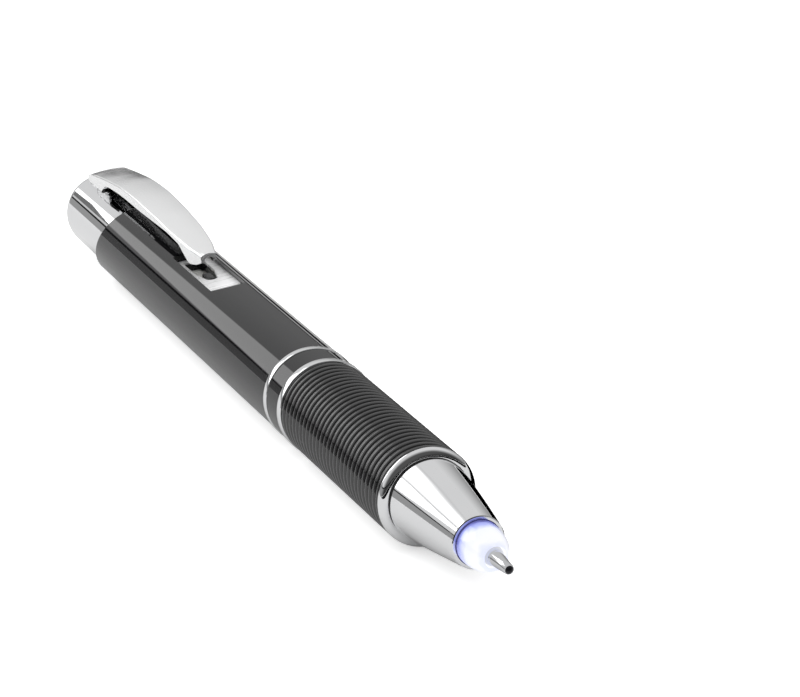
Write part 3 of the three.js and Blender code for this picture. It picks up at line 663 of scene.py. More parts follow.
@dataclass(frozen=True)
class LampGlow:
    """The lit lens: blue-violet where it leaves the nose, white in the middle, cooler again at its end."""

    name: str
    rear: float
    front: float
    strength: float = 0.95

    def build(self, effects: Effects) -> bpy.types.Material:
        """The material of the lit lens.

        Args:
            effects: The shared effect groups.

        Returns:
            The node material.
        """
        material = bpy.data.materials.new(self.name)
        material.use_nodes = True
        w = Wiring(material.node_tree)
        output = w.node("ShaderNodeOutputMaterial")
        shader = w.node("ShaderNodeBsdfPrincipled", in_IOR=1.49)
        shader.inputs["Emission Strength"].default_value = self.strength
        shader.inputs["Coat Weight"].default_value = 0.6
        w.link(shader.outputs[0], output.inputs[0])
        place = w.node("ShaderNodeTexCoord")
        spot = place.outputs["Object"]
        axes = w.node("ShaderNodeSeparateXYZ")
        w.link(spot, axes.inputs[0])
        cloud = w.node("ShaderNodeTexNoise", in_Scale=420.0, in_Detail=2.0)
        w.link(spot, cloud.inputs["Vector"])
        drift = w.math("MULTIPLY", w.math("SUBTRACT", cloud.outputs["Fac"], 0.5), 0.45)
        along = w.node("ShaderNodeMapRange", clamp=True)
        along.inputs["From Min"].default_value = self.rear * MM
        along.inputs["From Max"].default_value = self.front * MM
        w.link(axes.outputs[0], along.inputs["Value"])
        ramp = w.node("ShaderNodeValToRGB")
        stops = [
            (0.0, (0.01, 0.008, 0.05, 1)),
            (0.04, (0.03, 0.03, 0.16, 1)),
            (0.09, (0.16, 0.18, 0.6, 1)),
            (0.22, (0.36, 0.42, 0.88, 1)),
            (0.42, (0.85, 0.88, 0.98, 1)),
            (0.9, (0.95, 0.96, 0.98, 1)),
            (1.0, (0.80, 0.84, 1.0, 1)),
        ]
        elements = ramp.color_ramp.elements
        while len(elements) < len(stops):
            elements.new(0.5)
        for element, (position, colour) in zip(elements, stops):
            element.position, element.color = position, colour
        edge = w.math("LESS_THAN", along.outputs["Result"], 0.08)
        held = w.math("MULTIPLY", drift, w.math("SUBTRACT", 1.0, edge))
        w.link(w.math("ADD", along.outputs["Result"], held), ramp.inputs[0])
        w.link(ramp.outputs[0], shader.inputs["Emission Color"])
        tone = Finish._group(
            w, effects, Group.TONE, spot, Scale=500.0, Near=(0.06, 0.06, 0.12, 1), Far=(0.10, 0.10, 0.16, 1)
        )
        rough = Finish._group(w, effects, Group.ROUGHNESS, spot, Scale=900.0, Low=0.08, High=0.16)
        w.link(tone, shader.inputs["Base Color"])
        w.link(rough, shader.inputs["Roughness"])
        return material


@dataclass(frozen=True)
class ChipGlow:
    """A lamp chip: a pale package whose face gives off violet light."""

    name: str
    strength: float = 2.0

    def build(self, effects: Effects) -> bpy.types.Material:
        """The material of a lamp chip.

        Args:
            effects: The shared effect groups.

        Returns:
            The node material.
        """
        material = Finish(
            self.name, (0.85, 0.85, 0.8), (0.75, 0.75, 0.7), low_roughness=0.35, high_roughness=0.5
        ).build(effects)
        shader = next(n for n in material.node_tree.nodes if n.type == "BSDF_PRINCIPLED")
        shader.inputs["Emission Color"].default_value = (0.42, 0.4, 1.0, 1)
        shader.inputs["Emission Strength"].default_value = self.strength
        return material


class Palette:
    """Holds the material of each slot."""

    def __init__(self, effects: Effects) -> None:
        """Builds the materials.

        Args:
            effects: The shared effect groups.
        """
        nose, lens = Span.of("nose_cone"), Span.of("lamp_lens")
        black, soot = (0.0035, 0.0035, 0.0042), (0.006, 0.006, 0.0065)
        makers = {
            Slot.LACQUER: Finish(
                "gloss_black_lacquer", black, soot, low_roughness=0.02, high_roughness=0.05, ior=1.46,
                grain_scale=260.0, grain_height=0.002, speck_share=0.012, speck_size=0.10,
                speck_tone=(0.06, 0.06, 0.06),
                scuff_station=Span.of("barrel_tube").front, scuff_width=4.0,
            ),
            Slot.CHROME: Finish(
                "mirror_chrome", (0.90, 0.905, 0.915), (0.86, 0.865, 0.875), metallic=1.0,
                low_roughness=0.03, high_roughness=0.06, grain_scale=220.0, grain_height=0.0012,
                speck_share=0.03, speck_size=0.10, speck_tone=(0.62, 0.62, 0.62),
                scuff_station=nose.front, scuff_width=3.0,
            ),
            Slot.SATIN: Finish(
                "satin_chrome", (0.94, 0.94, 0.945), (0.88, 0.885, 0.89), metallic=0.75,
                low_roughness=0.09, high_roughness=0.17, stretch=(0.06, 1.0, 1.0),
                grain_scale=2600.0, grain_height=0.004, speck_share=0.01, speck_tone=(0.55, 0.55, 0.55),
            ),
            Slot.PLASTIC: Finish(
                "moulded_black_plastic", (0.008, 0.008, 0.009), (0.014, 0.014, 0.015),
                low_roughness=0.18, high_roughness=0.32, grain_scale=5200.0, grain_height=0.006,
            ),
            Slot.RUBBER: Finish(
                "black_seal_rubber", (0.010, 0.010, 0.010), (0.018, 0.018, 0.018),
                low_roughness=0.55, high_roughness=0.75, grain_scale=4200.0, grain_height=0.02,
            ),
            Slot.GRIP: Finish(
                "ribbed_black_grip", (0.005, 0.005, 0.0055), (0.009, 0.009, 0.0095),
                low_roughness=0.04, high_roughness=0.08, ior=1.85, grain_scale=3800.0, grain_height=0.002,
                speck_share=0.02, speck_size=0.14, speck_tone=(0.05, 0.05, 0.05),
            ),
            Slot.WHITE: Finish(
                "moulded_white_plastic", (0.78, 0.78, 0.75), (0.70, 0.70, 0.67),
                low_roughness=0.35, high_roughness=0.5, grain_scale=4800.0, grain_height=0.008,
            ),
            Slot.CELL: Finish(
                "nickelled_cell_can", (0.70, 0.70, 0.69), (0.60, 0.60, 0.59), metallic=1.0,
                low_roughness=0.18, high_roughness=0.34, grain_scale=3000.0, grain_height=0.004,
                speck_share=0.04,
            ),
            Slot.SPRING: Finish(
                "drawn_spring_wire", (0.58, 0.59, 0.60), (0.48, 0.49, 0.50), metallic=1.0,
                low_roughness=0.22, high_roughness=0.36, stretch=(1.0, 0.2, 0.2), grain_scale=6000.0,
                grain_height=0.004,
            ),
            Slot.BRASS: Finish(
                "turned_brass", (0.66, 0.47, 0.19), (0.55, 0.38, 0.15), metallic=1.0,
                low_roughness=0.2, high_roughness=0.36, stretch=(3.0, 0.3, 0.3), grain_scale=3600.0,
                grain_height=0.005,
            ),
            Slot.LENS: LampGlow("lit_lamp_lens", nose.front - 0.1, lens.front),
            Slot.BOARD: Finish(
                "green_circuit_board", (0.010, 0.075, 0.03), (0.02, 0.13, 0.05),
                low_roughness=0.3, high_roughness=0.45, grain_scale=3000.0, grain_height=0.01,
                speck_share=0.25, speck_size=0.3, speck_tone=(0.55, 0.42, 0.16),
            ),
            Slot.LAMP: ChipGlow("violet_lamp_chip"),
            Slot.TIP: Finish(
                "turned_tip_metal", (0.74, 0.745, 0.755), (0.62, 0.625, 0.635), metallic=1.0,
                low_roughness=0.03, high_roughness=0.07, stretch=(4.0, 0.5, 0.5), grain_scale=3000.0,
                grain_height=0.004,
            ),
            Slot.BALL: Finish(
                "inked_writing_ball", (0.010, 0.010, 0.012), (0.03, 0.03, 0.034), metallic=0.6,
                low_roughness=0.12, high_roughness=0.3, grain_scale=5000.0, grain_height=0.004,
            ),
        }  # fmt: skip
        self._materials = {slot: maker.build(effects) for slot, maker in makers.items()}
        # Partly painted reflection: a brushed, barely metallic pale finish for the slot plate. Its light tone
        # stands in for the sky that the chrome plate reflects.
        self.plate = Finish(
            "brushed_plate_painted_reflection", (0.90, 0.90, 0.905), (0.87, 0.87, 0.875), metallic=0.15,
            low_roughness=0.22, high_roughness=0.34, stretch=(1.0, 0.08, 1.0), grain_scale=5200.0,
            grain_height=0.004,
        ).build(effects)  # fmt: skip
        # Painted shade: a near-black matte finish for the inside of the clip's hollow, standing in for the
        # shade under the clip.
        self.clip_inside = Finish(
            "dark_clip_inside", (0.003, 0.003, 0.003), (0.006, 0.006, 0.006), metallic=0.0,
            low_roughness=0.6, high_roughness=0.8, grain_scale=3000.0, grain_height=0.006,
        ).build(effects)  # fmt: skip

    def get(self, slot: Slot) -> bpy.types.Material:
        """The material of a slot."""
        return self._materials[slot]


class Dresser:
    """Puts finished pieces on their bodies."""

    def __init__(self, palette: Palette) -> None:
        """Starts with nothing dressed."""
        self.palette = palette
        self.replaced: set[str] = set()

    def dress(self, piece: bpy.types.Object, body: Body, slot: Slot, *nodes: str) -> bpy.types.Object:
        """Gives a piece its material, body and the CAD nodes it stands for.

        Args:
            piece: The finished piece.
            body: The body it moves with.
            slot: The material slot of its finish.
            *nodes: The CAD nodes that it replaces.

        Returns:
            The piece.
        """
        piece.data.materials.clear()
        piece.data.materials.append(self.palette.get(slot))
        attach(piece, body.value)
        if nodes:
            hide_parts(*nodes)
            self.replaced.update(nodes)
        LOG.info("%s rides on %s, %d faces", piece.name, body.value, len(piece.data.polygons))
        return piece

    def dress_kept(self, slots: dict[Slot, Sequence[str]]) -> None:
        """Gives every CAD node that still shows its material.

        Args:
            slots: The nodes of each slot.
        """
        for slot, nodes in slots.items():
            for name in nodes:
                if name in self.replaced:
                    continue
                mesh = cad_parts[name].data
                if mesh.materials:
                    for index in range(len(mesh.materials)):
                        mesh.materials[index] = self.palette.get(slot)
                else:
                    mesh.materials.append(self.palette.get(slot))
                LOG.info("%s keeps its shape, in %s", name, slot.value)


# ---- Geometry trees ---------------------------------------------------------------------------------------


class RuleTree:
    """A geometry tree with named inputs, run on a mesh and turned into a plain mesh."""

    def __init__(self, name: str) -> None:
        """Starts an empty tree that gives out one geometry."""
        self.tree = bpy.data.node_groups.new(name, "GeometryNodeTree")
        self.w = Wiring(self.tree)
        self.given = self.w.node("NodeGroupInput")
        self.result = self.w.node("NodeGroupOutput")
        self.names: dict[str, str] = {}
        self.tree.interface.new_socket("Geometry", in_out="OUTPUT", socket_type="NodeSocketGeometry")
        self.input("Core", "NodeSocketGeometry")

    def input(self, name: str, kind: str) -> bpy.types.NodeSocket:
        """Adds a named input.

        Args:
            name: The input's name.
            kind: The input's socket type.

        Returns:
            The socket that carries it inside the tree.
        """
        socket = self.tree.interface.new_socket(name, in_out="INPUT", socket_type=kind)
        self.names[name] = socket.identifier
        return self.given.outputs[name]

    def finish(self, geometry: bpy.types.NodeSocket, material: bpy.types.NodeSocket) -> None:
        """Ends the tree: real geometry, shaded smooth, in its material.

        Args:
            geometry: What the tree has made.
            material: The material input.
        """
        real = self.w.node("GeometryNodeRealizeInstances")
        smooth = self.w.node("GeometryNodeSetShadeSmooth")
        dressed = self.w.node("GeometryNodeSetMaterial")
        self.w.link(geometry, smooth.inputs["Geometry"])
        self.w.link(smooth.outputs["Geometry"], real.inputs["Geometry"])
        self.w.link(real.outputs["Geometry"], dressed.inputs["Geometry"])
        self.w.link(material, dressed.inputs["Material"])
        self.w.link(dressed.outputs["Geometry"], self.result.inputs["Geometry"])

    def run(self, piece: bpy.types.Object, **values: object) -> None:
        """Runs the tree on a piece and turns the result into its mesh.

        Args:
            piece: The piece that carries the core.
            **values: The value of each named input.
        """
        rule = piece.modifiers.new(self.tree.name, "NODES")
        rule.node_group = self.tree
        for name, value in values.items():
            rule[self.names[name]] = value
        Bench.settle(piece)


class RingRowTree(RuleTree):
    """Equal rings side by side along the pen, joined to a core."""

    def __init__(self) -> None:
        """Builds the tree."""
        super().__init__("ring_row")
        count = self.input("Count", "NodeSocketInt")
        start = self.input("Start", "NodeSocketVector")
        pitch = self.input("Pitch", "NodeSocketVector")
        radius = self.input("Ring_Radius", "NodeSocketFloat")
        section = self.input("Section_Radius", "NodeSocketFloat")
        material = self.input("Material", "NodeSocketMaterial")
        w = self.w
        row = w.node("GeometryNodeMeshLine", mode="OFFSET")
        w.link(count, row.inputs["Count"])
        w.link(start, row.inputs["Start Location"])
        w.link(pitch, row.inputs["Offset"])
        path = w.node("GeometryNodeCurvePrimitiveCircle", mode="RADIUS", in_Resolution=112)
        w.link(radius, path.inputs["Radius"])
        profile = w.node("GeometryNodeCurvePrimitiveCircle", mode="RADIUS", in_Resolution=14)
        w.link(section, profile.inputs["Radius"])
        ring = w.node("GeometryNodeCurveToMesh")
        w.link(path.outputs["Curve"], ring.inputs["Curve"])
        w.link(profile.outputs["Curve"], ring.inputs["Profile Curve"])
        turned = w.node("GeometryNodeTransform")
        turned.inputs["Rotation"].default_value = (0.0, math.pi / 2, 0.0)
        w.link(ring.outputs["Mesh"], turned.inputs["Geometry"])
        rings = w.node("GeometryNodeInstanceOnPoints")
        w.link(row.outputs["Mesh"], rings.inputs["Points"])
        w.link(turned.outputs["Geometry"], rings.inputs["Instance"])
        joined = w.node("GeometryNodeJoinGeometry")
        w.link(rings.outputs["Instances"], joined.inputs["Geometry"])
        w.link(self.given.outputs["Core"], joined.inputs["Geometry"])
        self.finish(joined.outputs["Geometry"], material)


class CoilTree(RuleTree):
    """A wire wound in a coil, along the pen or across it."""

    def __init__(self) -> None:
        """Builds the tree."""
        super().__init__("wire_coil")
        turns = self.input("Turns", "NodeSocketFloat")
        first = self.input("Start_Radius", "NodeSocketFloat")
        last = self.input("End_Radius", "NodeSocketFloat")
        length = self.input("Length", "NodeSocketFloat")
        wire = self.input("Wire_Radius", "NodeSocketFloat")
        place = self.input("Place", "NodeSocketVector")
        turn = self.input("Turn", "NodeSocketVector")
        material = self.input("Material", "NodeSocketMaterial")
        w = self.w
        spiral = w.node("GeometryNodeCurveSpiral", in_Resolution=40)
        for socket, name in (
            (turns, "Rotations"), (first, "Start Radius"), (last, "End Radius"), (length, "Height")
        ):
            w.link(socket, spiral.inputs[name])
        profile = w.node("GeometryNodeCurvePrimitiveCircle", mode="RADIUS", in_Resolution=12)
        w.link(wire, profile.inputs["Radius"])
        wound = w.node("GeometryNodeCurveToMesh", in_Fill_Caps=True)
        w.link(spiral.outputs["Curve"], wound.inputs["Curve"])
        w.link(profile.outputs["Curve"], wound.inputs["Profile Curve"])
        placed = w.node("GeometryNodeTransform")
        w.link(wound.outputs["Mesh"], placed.inputs["Geometry"])
        w.link(place, placed.inputs["Translation"])
        w.link(turn, placed.inputs["Rotation"])
        self.finish(placed.outputs["Geometry"], material)


# ---- Sub-assemblies ---------------------------------------------------------------------------------------


@dataclass
class Barrel:
    """The black tube with its window, the slot plate and the rear ring."""

    wall: float = 0.5
    cut_angle: float = 32.0
    plate_drop: float = 1.29
    ramp_angle: float = 20.0
    edge: float = 0.06

    def build(self, dresser: Dresser) -> None:
        """Builds and dresses the tube, the plate and the ring.

        Args:
            dresser: What puts the pieces on their bodies.
        """
        dresser.dress(self._tube(), Body.BARREL, Slot.LACQUER, "barrel_tube")
        # The plate's pale finish is a painted reflection of the sky in place of its chrome.
        plate = dresser.dress(self._plate(), Body.BARREL, Slot.SATIN, "slot_plate")
        plate.data.materials[0] = dresser.palette.plate
        ring = Span.of("rear_chrome_ring")
        bore = ring.radius - 1.05
        profile = softened(
            [(ring.rear, bore), (ring.rear, ring.radius), (ring.front, ring.radius), (ring.front, bore)], 0.16
        )
        dresser.dress(Bench.revolve("rear_ring", profile), Body.BARREL, Slot.CHROME, "rear_chrome_ring")

    def _tube(self) -> bpy.types.Object:
        """The tube: slanted at the rear, with a window whose front end is a ramp."""
        tube, plate = Span.of("barrel_tube"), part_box("slot_plate")
        outer, inner = tube.radius, tube.radius - self.wall
        rear = tube.rear - outer
        profile = [
            (rear, inner), (rear, outer), (tube.front - self.edge, outer), (tube.front, outer - self.edge),
            (tube.front, inner)
        ]
        piece = Bench.revolve("lacquered_tube", profile)
        lean = math.tan(math.radians(self.cut_angle))
        middle = tube.rear + outer * lean
        reach = 2 * outer
        behind = [
            (middle - reach * lean, -reach),
            (middle + reach * lean, reach),
            (rear - reach, reach),
            (rear - reach, -reach),
        ]
        Bench.carve(piece, Bench.prism("slant", behind, -reach, reach, False))
        Bench.carve(piece, self._window(outer, plate))
        Bench.true_round(piece, outer)
        return piece

    def _window(self, outer: float, plate: tuple[Vector, Vector]) -> bpy.types.Object:
        """What is cut away over the plate.

        Args:
            outer: The tube's radius.
            plate: The plate's box.

        Returns:
            The cutting body.
        """
        low, high = plate
        top = outer - self.plate_drop
        lip = 0.25
        rear, front, half = low.x / MM + lip, high.x / MM, high.y / MM - lip
        ramp = front + (self.plate_drop + 0.2) / math.tan(math.radians(self.ramp_angle))
        outline = [(rear, top), (front, top), (ramp, outer + 0.2), (ramp, 2 * outer), (rear, 2 * outer)]
        return Bench.prism("window", outline, -half, half, False)

    def _plate(self) -> bpy.types.Object:
        """The chrome plate with its slot, its edges rounded."""
        low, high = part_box("slot_plate")
        rear, front, half = low.x / MM, high.x / MM, high.y / MM
        bottom, top = low.z / MM - AXIS, high.z / MM - AXIS
        outline = [(rear, -half), (front, -half), (front, half), (rear, half)]
        piece = Bench.prism("slotted_plate", outline, bottom, top, True)
        slot_front, slot_length, narrow, wide = front - 3.7, 8.2, 0.75, 1.25
        centre = slot_front - narrow
        arc = [(-math.pi / 2 + math.pi * i / 16) for i in range(17)]
        slot = [(centre + narrow * math.cos(a), narrow * math.sin(a)) for a in arc]
        slot += [(centre - 2.6, wide), (slot_front - slot_length, wide)]
        slot += [(slot_front - slot_length, -wide), (centre - 2.6, -wide)]
        Bench.carve(piece, Bench.prism("slot", slot, bottom - 1, top + 1, True))
        Bench.bevel(piece, 0.09)
        return piece


@dataclass
class Cap:
    """The chrome cap and what it carries: the sliding tongue, the clip's bracket and pin, and two coils."""

    wall: float = 0.4
    corner: float = 2.2
    end_depth: float = 3.1
    end_fullness: float = 2.2
    coil_wire: float = 0.1

    def build(self, dresser: Dresser, coils: CoilTree) -> None:
        """Builds and dresses the cap's pieces.

        Args:
            dresser: What puts the pieces on their bodies.
            coils: The rule that winds the springs.
        """
        dresser.dress(self._shell(), Body.PLUNGER, Slot.CHROME, "cap_shell")
        dresser.dress(self._tongue(), Body.PLUNGER, Slot.PLASTIC, "slide_key")
        dresser.dress(self._pin(), Body.PLUNGER, Slot.SPRING, "clip_pin")
        # Painted shade: the bracket takes the dark rubber finish so that it reads as shaded inside the gap
        # under the clip.
        dresser.dress(self._bracket(), Body.PLUNGER, Slot.RUBBER, "clip_lug")
        for piece, node in (
            (self._clip_coil(dresser, coils), "clip_spring"), (self._cell_coil(dresser, coils), "cell_spring")
        ):
            dresser.dress(piece, Body.PLUNGER, Slot.SPRING, node)

    def _shell(self) -> bpy.types.Object:
        """The cap: a long cup with a rounded corner and a faintly domed end."""
        cap = Span.of("cap_shell")
        power = 2 / self.end_fullness
        profile: list[Point] = []
        for i in range(25):
            angle = i / 24 * math.pi / 2
            depth = self.end_depth * (1 - max(math.cos(angle), 0.0) ** power)
            profile.append((cap.rear + depth, cap.radius * math.sin(angle) ** power))
        bore = cap.radius - self.wall
        profile += [(cap.front - 0.05, cap.radius), (cap.front, cap.radius - 0.05), (cap.front, bore)]
        profile += [
            (cap.rear + 2 * self.corner, bore), (cap.rear + self.corner, bore - self.corner),
            (cap.rear + self.corner, 0.0)
        ]
        return Bench.revolve("cap_cup", profile)

    def _tongue(self) -> bpy.types.Object:
        """The tongue that runs in the slot, with a rounded front."""
        low, high = (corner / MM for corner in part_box("slide_key"))
        half = high.y
        arc = [(-math.pi / 2 + math.pi * i / 16) for i in range(17)]
        outline = [(high.x - half + half * math.cos(a), half * math.sin(a)) for a in arc]
        outline += [(low.x, half), (low.x, -half)]
        piece = Bench.prism("slot_tongue", outline, low.z - AXIS, high.z - AXIS, True)
        Bench.bevel(piece, 0.12)
        return piece

    def _pin(self) -> bpy.types.Object:
        """The hinge pin, with rounded ends that stay inside the clip's heel."""
        low, high = (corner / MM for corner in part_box("clip_pin"))
        radius, half = (high.z - low.z) / 2, 1.3
        centre = ((low.x + high.x) / 2, (low.z + high.z) / 2 - AXIS)
        rounds = [
            (-half, radius - 0.08), (-half + 0.08, radius), (half - 0.08, radius), (half, radius - 0.08)
        ]
        sections = []
        for side, size in rounds:
            turn = [2 * math.pi * i / 32 for i in range(32)]
            sections.append(
                [(centre[0] + size * math.cos(a), side, centre[1] + size * math.sin(a)) for a in turn]
            )
        return Bench.loft("hinge_pin", sections)

    def _bracket(self) -> bpy.types.Object:
        """The bracket on the cap that the pin goes through, with a rounded top."""
        low, high = (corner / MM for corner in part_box("clip_lug"))
        pin_low, pin_high = (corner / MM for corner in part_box("clip_pin"))
        centre = ((pin_low.x + pin_high.x) / 2, (pin_low.z + pin_high.z) / 2 - AXIS)
        radius = (high.x - low.x) / 2
        arc = [math.pi * i / 20 for i in range(21)]
        outline = [(centre[0] + radius * math.cos(a), centre[1] + radius * math.sin(a)) for a in arc]
        outline += [(low.x, low.z - AXIS), (high.x, low.z - AXIS)]
        piece = Bench.prism("hinge_bracket", outline, -0.9, 0.2, False)
        Bench.bevel(piece, 0.05)
        return piece

    def _clip_coil(self, dresser: Dresser, coils: CoilTree) -> bpy.types.Object:
        """The coil round the hinge pin.

        Args:
            dresser: Gives the material.
            coils: The rule that winds the coil.

        Returns:
            The coil.
        """
        low, high = (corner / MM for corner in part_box("clip_pin"))
        piece = Bench.solid("hinge_coil", [(0, 0, 0)], [])
        coils.run(
            piece, Turns=3.0, Start_Radius=0.55 * MM, End_Radius=0.55 * MM, Length=0.7 * MM,
            Wire_Radius=self.coil_wire * MM,
            Place=((low.x + high.x) / 2 * MM, 1.05 * MM, (low.z + high.z) / 2 * MM),
            Turn=(math.pi / 2, 0.0, 0.0),
            Material=dresser.palette.get(Slot.SPRING),
        )  # fmt: skip
        return piece

    def _cell_coil(self, dresser: Dresser, coils: CoilTree) -> bpy.types.Object:
        """The coil that presses the cells forward.

        Args:
            dresser: Gives the material.
            coils: The rule that winds the coil.

        Returns:
            The coil.
        """
        low, high = (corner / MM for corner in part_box("cell_spring"))
        piece = Bench.solid("cell_coil", [(0, 0, 0)], [])
        wire = 0.15
        coils.run(
            piece, Turns=2.5, Start_Radius=3.0 * MM, End_Radius=1.8 * MM,
            Length=(high.x - low.x - 2 * wire) * MM,
            Wire_Radius=wire * MM, Place=((low.x + wire) * MM, 0.0, AXIS * MM), Turn=(0.0, math.pi / 2, 0.0),
            Material=dresser.palette.get(Slot.SPRING),
        )  # fmt: skip
        return piece


@dataclass
class Clip:
    """The pocket clip: a long crowned roof on two side walls, drawn in at its heel and at its tip."""

    wall: float = 0.5
    corner: float = 0.32
    crown: float = 0.14
    heel_share: float = 0.115
    heel_gap: float = 0.27
    knee: float = 6.0
    knee_drop: float = 0.8
    heel_draw: float = 0.5
    rows: int = 96

    def build(self, dresser: Dresser) -> None:
        """Builds and dresses the clip.

        Args:
            dresser: What puts the clip on its body.
        """
        low, high = (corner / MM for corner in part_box("clip"))
        self.rear, self.front, self.half = low.x, high.x, high.y
        self.top = high.z - AXIS - self.crown
        cap = Span.of("cap_shell").radius
        barrel = Span.of("barrel_tube").radius
        rise = self.top - cap
        heights = (
            (0, 0.27), (0.02, 0.4), (0.06, 0.52), (0.125, 0.63), (0.24, 0.8), (0.38, 0.955), (0.5, 0.995)
        )
        fall = ((0.66, 0.935), (0.78, 0.837), (0.9, 0.71))
        self.roof = Course(tuple((s, cap + rise * h) for s, h in (*heights, *fall)) + ((1.0, barrel + 1.9),))
        heel = cap - 0.3
        step = self.heel_share
        self.under = Course((
            (0.0, heel), (step, heel), (step + 0.032, cap + 0.85), (0.178, cap + 1.72), (0.207, cap + 2.35),
            (0.26, cap + 2.74),
            (0.4, barrel + 2.5),
            (0.75, barrel + 2.6), (0.86, barrel + 2.08), (0.9, barrel + 0.9), (0.93, barrel + 0.16),
            (0.965, barrel + 0.38),
            (1.0, barrel + 0.95),
        ))  # fmt: skip
        narrow = self.half - 1.05
        self.plan = Course((
            (0.02, self.half), (0.5, self.half), (0.78, self.half - narrow * 0.18),
            (0.92, self.half - narrow * 0.5), (1.0, 1.05),
        ))  # fmt: skip
        piece = Bench.loft("pocket_clip", [self._section(share, 0.0) for share in self._shares(0.0, 1.0)])
        inner_start = self.wall * 1.4 / (self.front - self.rear)
        hollow = Bench.loft(
            "hollow", [self._section(share, self.wall) for share in self._shares(inner_start, 1.02)]
        )
        Bench.carve(piece, hollow)
        room, ahead, behind = cap + self.heel_gap, self.rear + 11, self.rear - 8
        cap_room = Bench.revolve("cap_room", [(behind, 0), (behind, room), (ahead, room), (ahead, 0)])
        Bench.carve(piece, cap_room)
        dresser.dress(piece, Body.CLIP, Slot.SATIN, "clip")
        # The hollow's roof and inner walls get the painted shade finish in place of their chrome.
        piece.data.materials.append(dresser.palette.clip_inside)
        for face in piece.data.polygons:
            face.material_index = 1 if self._is_inside(face.center / MM, face.normal) else 0

    def _is_inside(self, centre: Vector, normal: Vector) -> bool:
        """Whether a face belongs to the hollow.

        Args:
            centre: The middle of the face, in millimetres.
            normal: The direction it faces.

        Returns:
            True for the hollow's roof and walls.
        """
        share = (centre.x - self.rear) / (self.front - self.rear)
        height = centre.z - AXIS
        deep = height < self.roof.at(share) - self.wall * 0.8
        facing_in = normal.y * centre.y < -0.1 * abs(centre.y) or normal.z < -0.5
        inner = abs(centre.y) < self._side(share, height, self.plan.at(share), 0.0) - self.wall * 0.6
        return deep and facing_in and inner

    def _shares(self, start: float, end: float) -> list[float]:
        """The places of the sections, closer at the heel's step and at both ends."""
        plain = [start + (end - start) * i / self.rows for i in range(self.rows + 1)]
        fine = [0.001, 0.0025, 0.005, 0.0075, 0.995, 0.998]
        fine += [self.heel_share + 0.012 * step for step in range(9)]
        return sorted({*plain, *(share for share in fine if start < share < end)})

    def _section(self, share: float, inset: float) -> list[tuple[float, float, float]]:
        """One section across the clip.

        Args:
            share: Where along the clip.
            inset: How far it lies inside the clip's skin; the hollow's section also reaches down
                past the clip.

        Returns:
            The section's points, from the lower left over the top to the lower right.
        """
        station = self.rear + (self.front - self.rear) * share
        back = station - self.rear
        bend = 1.0
        squeeze = bend - math.sqrt(max(bend**2 - (bend - min(back, bend)) ** 2, 0.0))
        half = max(self.plan.at(share) - squeeze * 0.9 - inset, 0.2)
        top = self.roof.at(share) - inset
        low = self.under.at(share) if inset == 0 else 2.0
        corner = max(min(self.corner, half * 0.6, (top - low) * 0.45) - inset * 0.5, 0.05)
        right: list[tuple[float, float, float]] = []
        steps = 10
        for i in range(steps + 1):
            height = low + (top - corner - low) * i / steps
            right.append((station, self._side(share, height, half, inset), height))
        for i in range(1, 7):
            angle = math.pi / 2 * i / 6
            side = half - corner * (1 - math.cos(angle))
            right.append((station, side, top - corner * (1 - math.sin(angle))))
        flat = half - corner
        for i in range(1, 6):
            side = flat * (1 - i / 5)
            right.append((station, side, top + self.crown * (1 - (side / flat) ** 2)))
        left = [(x, -y, z) for x, y, z in reversed(right[:-1])]
        return [*right, *left]

    def _side(self, share: float, height: float, half: float, inset: float) -> float:
        """The half width at a height: the heel is drawn in below its knee.

        Args:
            share: Where along the clip.
            height: The height above the axis.
            half: The half width at the top.
            inset: How far inside the skin.

        Returns:
            The half width at that height.
        """
        if share > self.heel_share + 0.12:
            return half
        depth = min(max((self.knee - height) / self.knee_drop, 0.0), 1.0)
        return half - (half + inset) * self.heel_draw * depth * depth * (3 - 2 * depth)


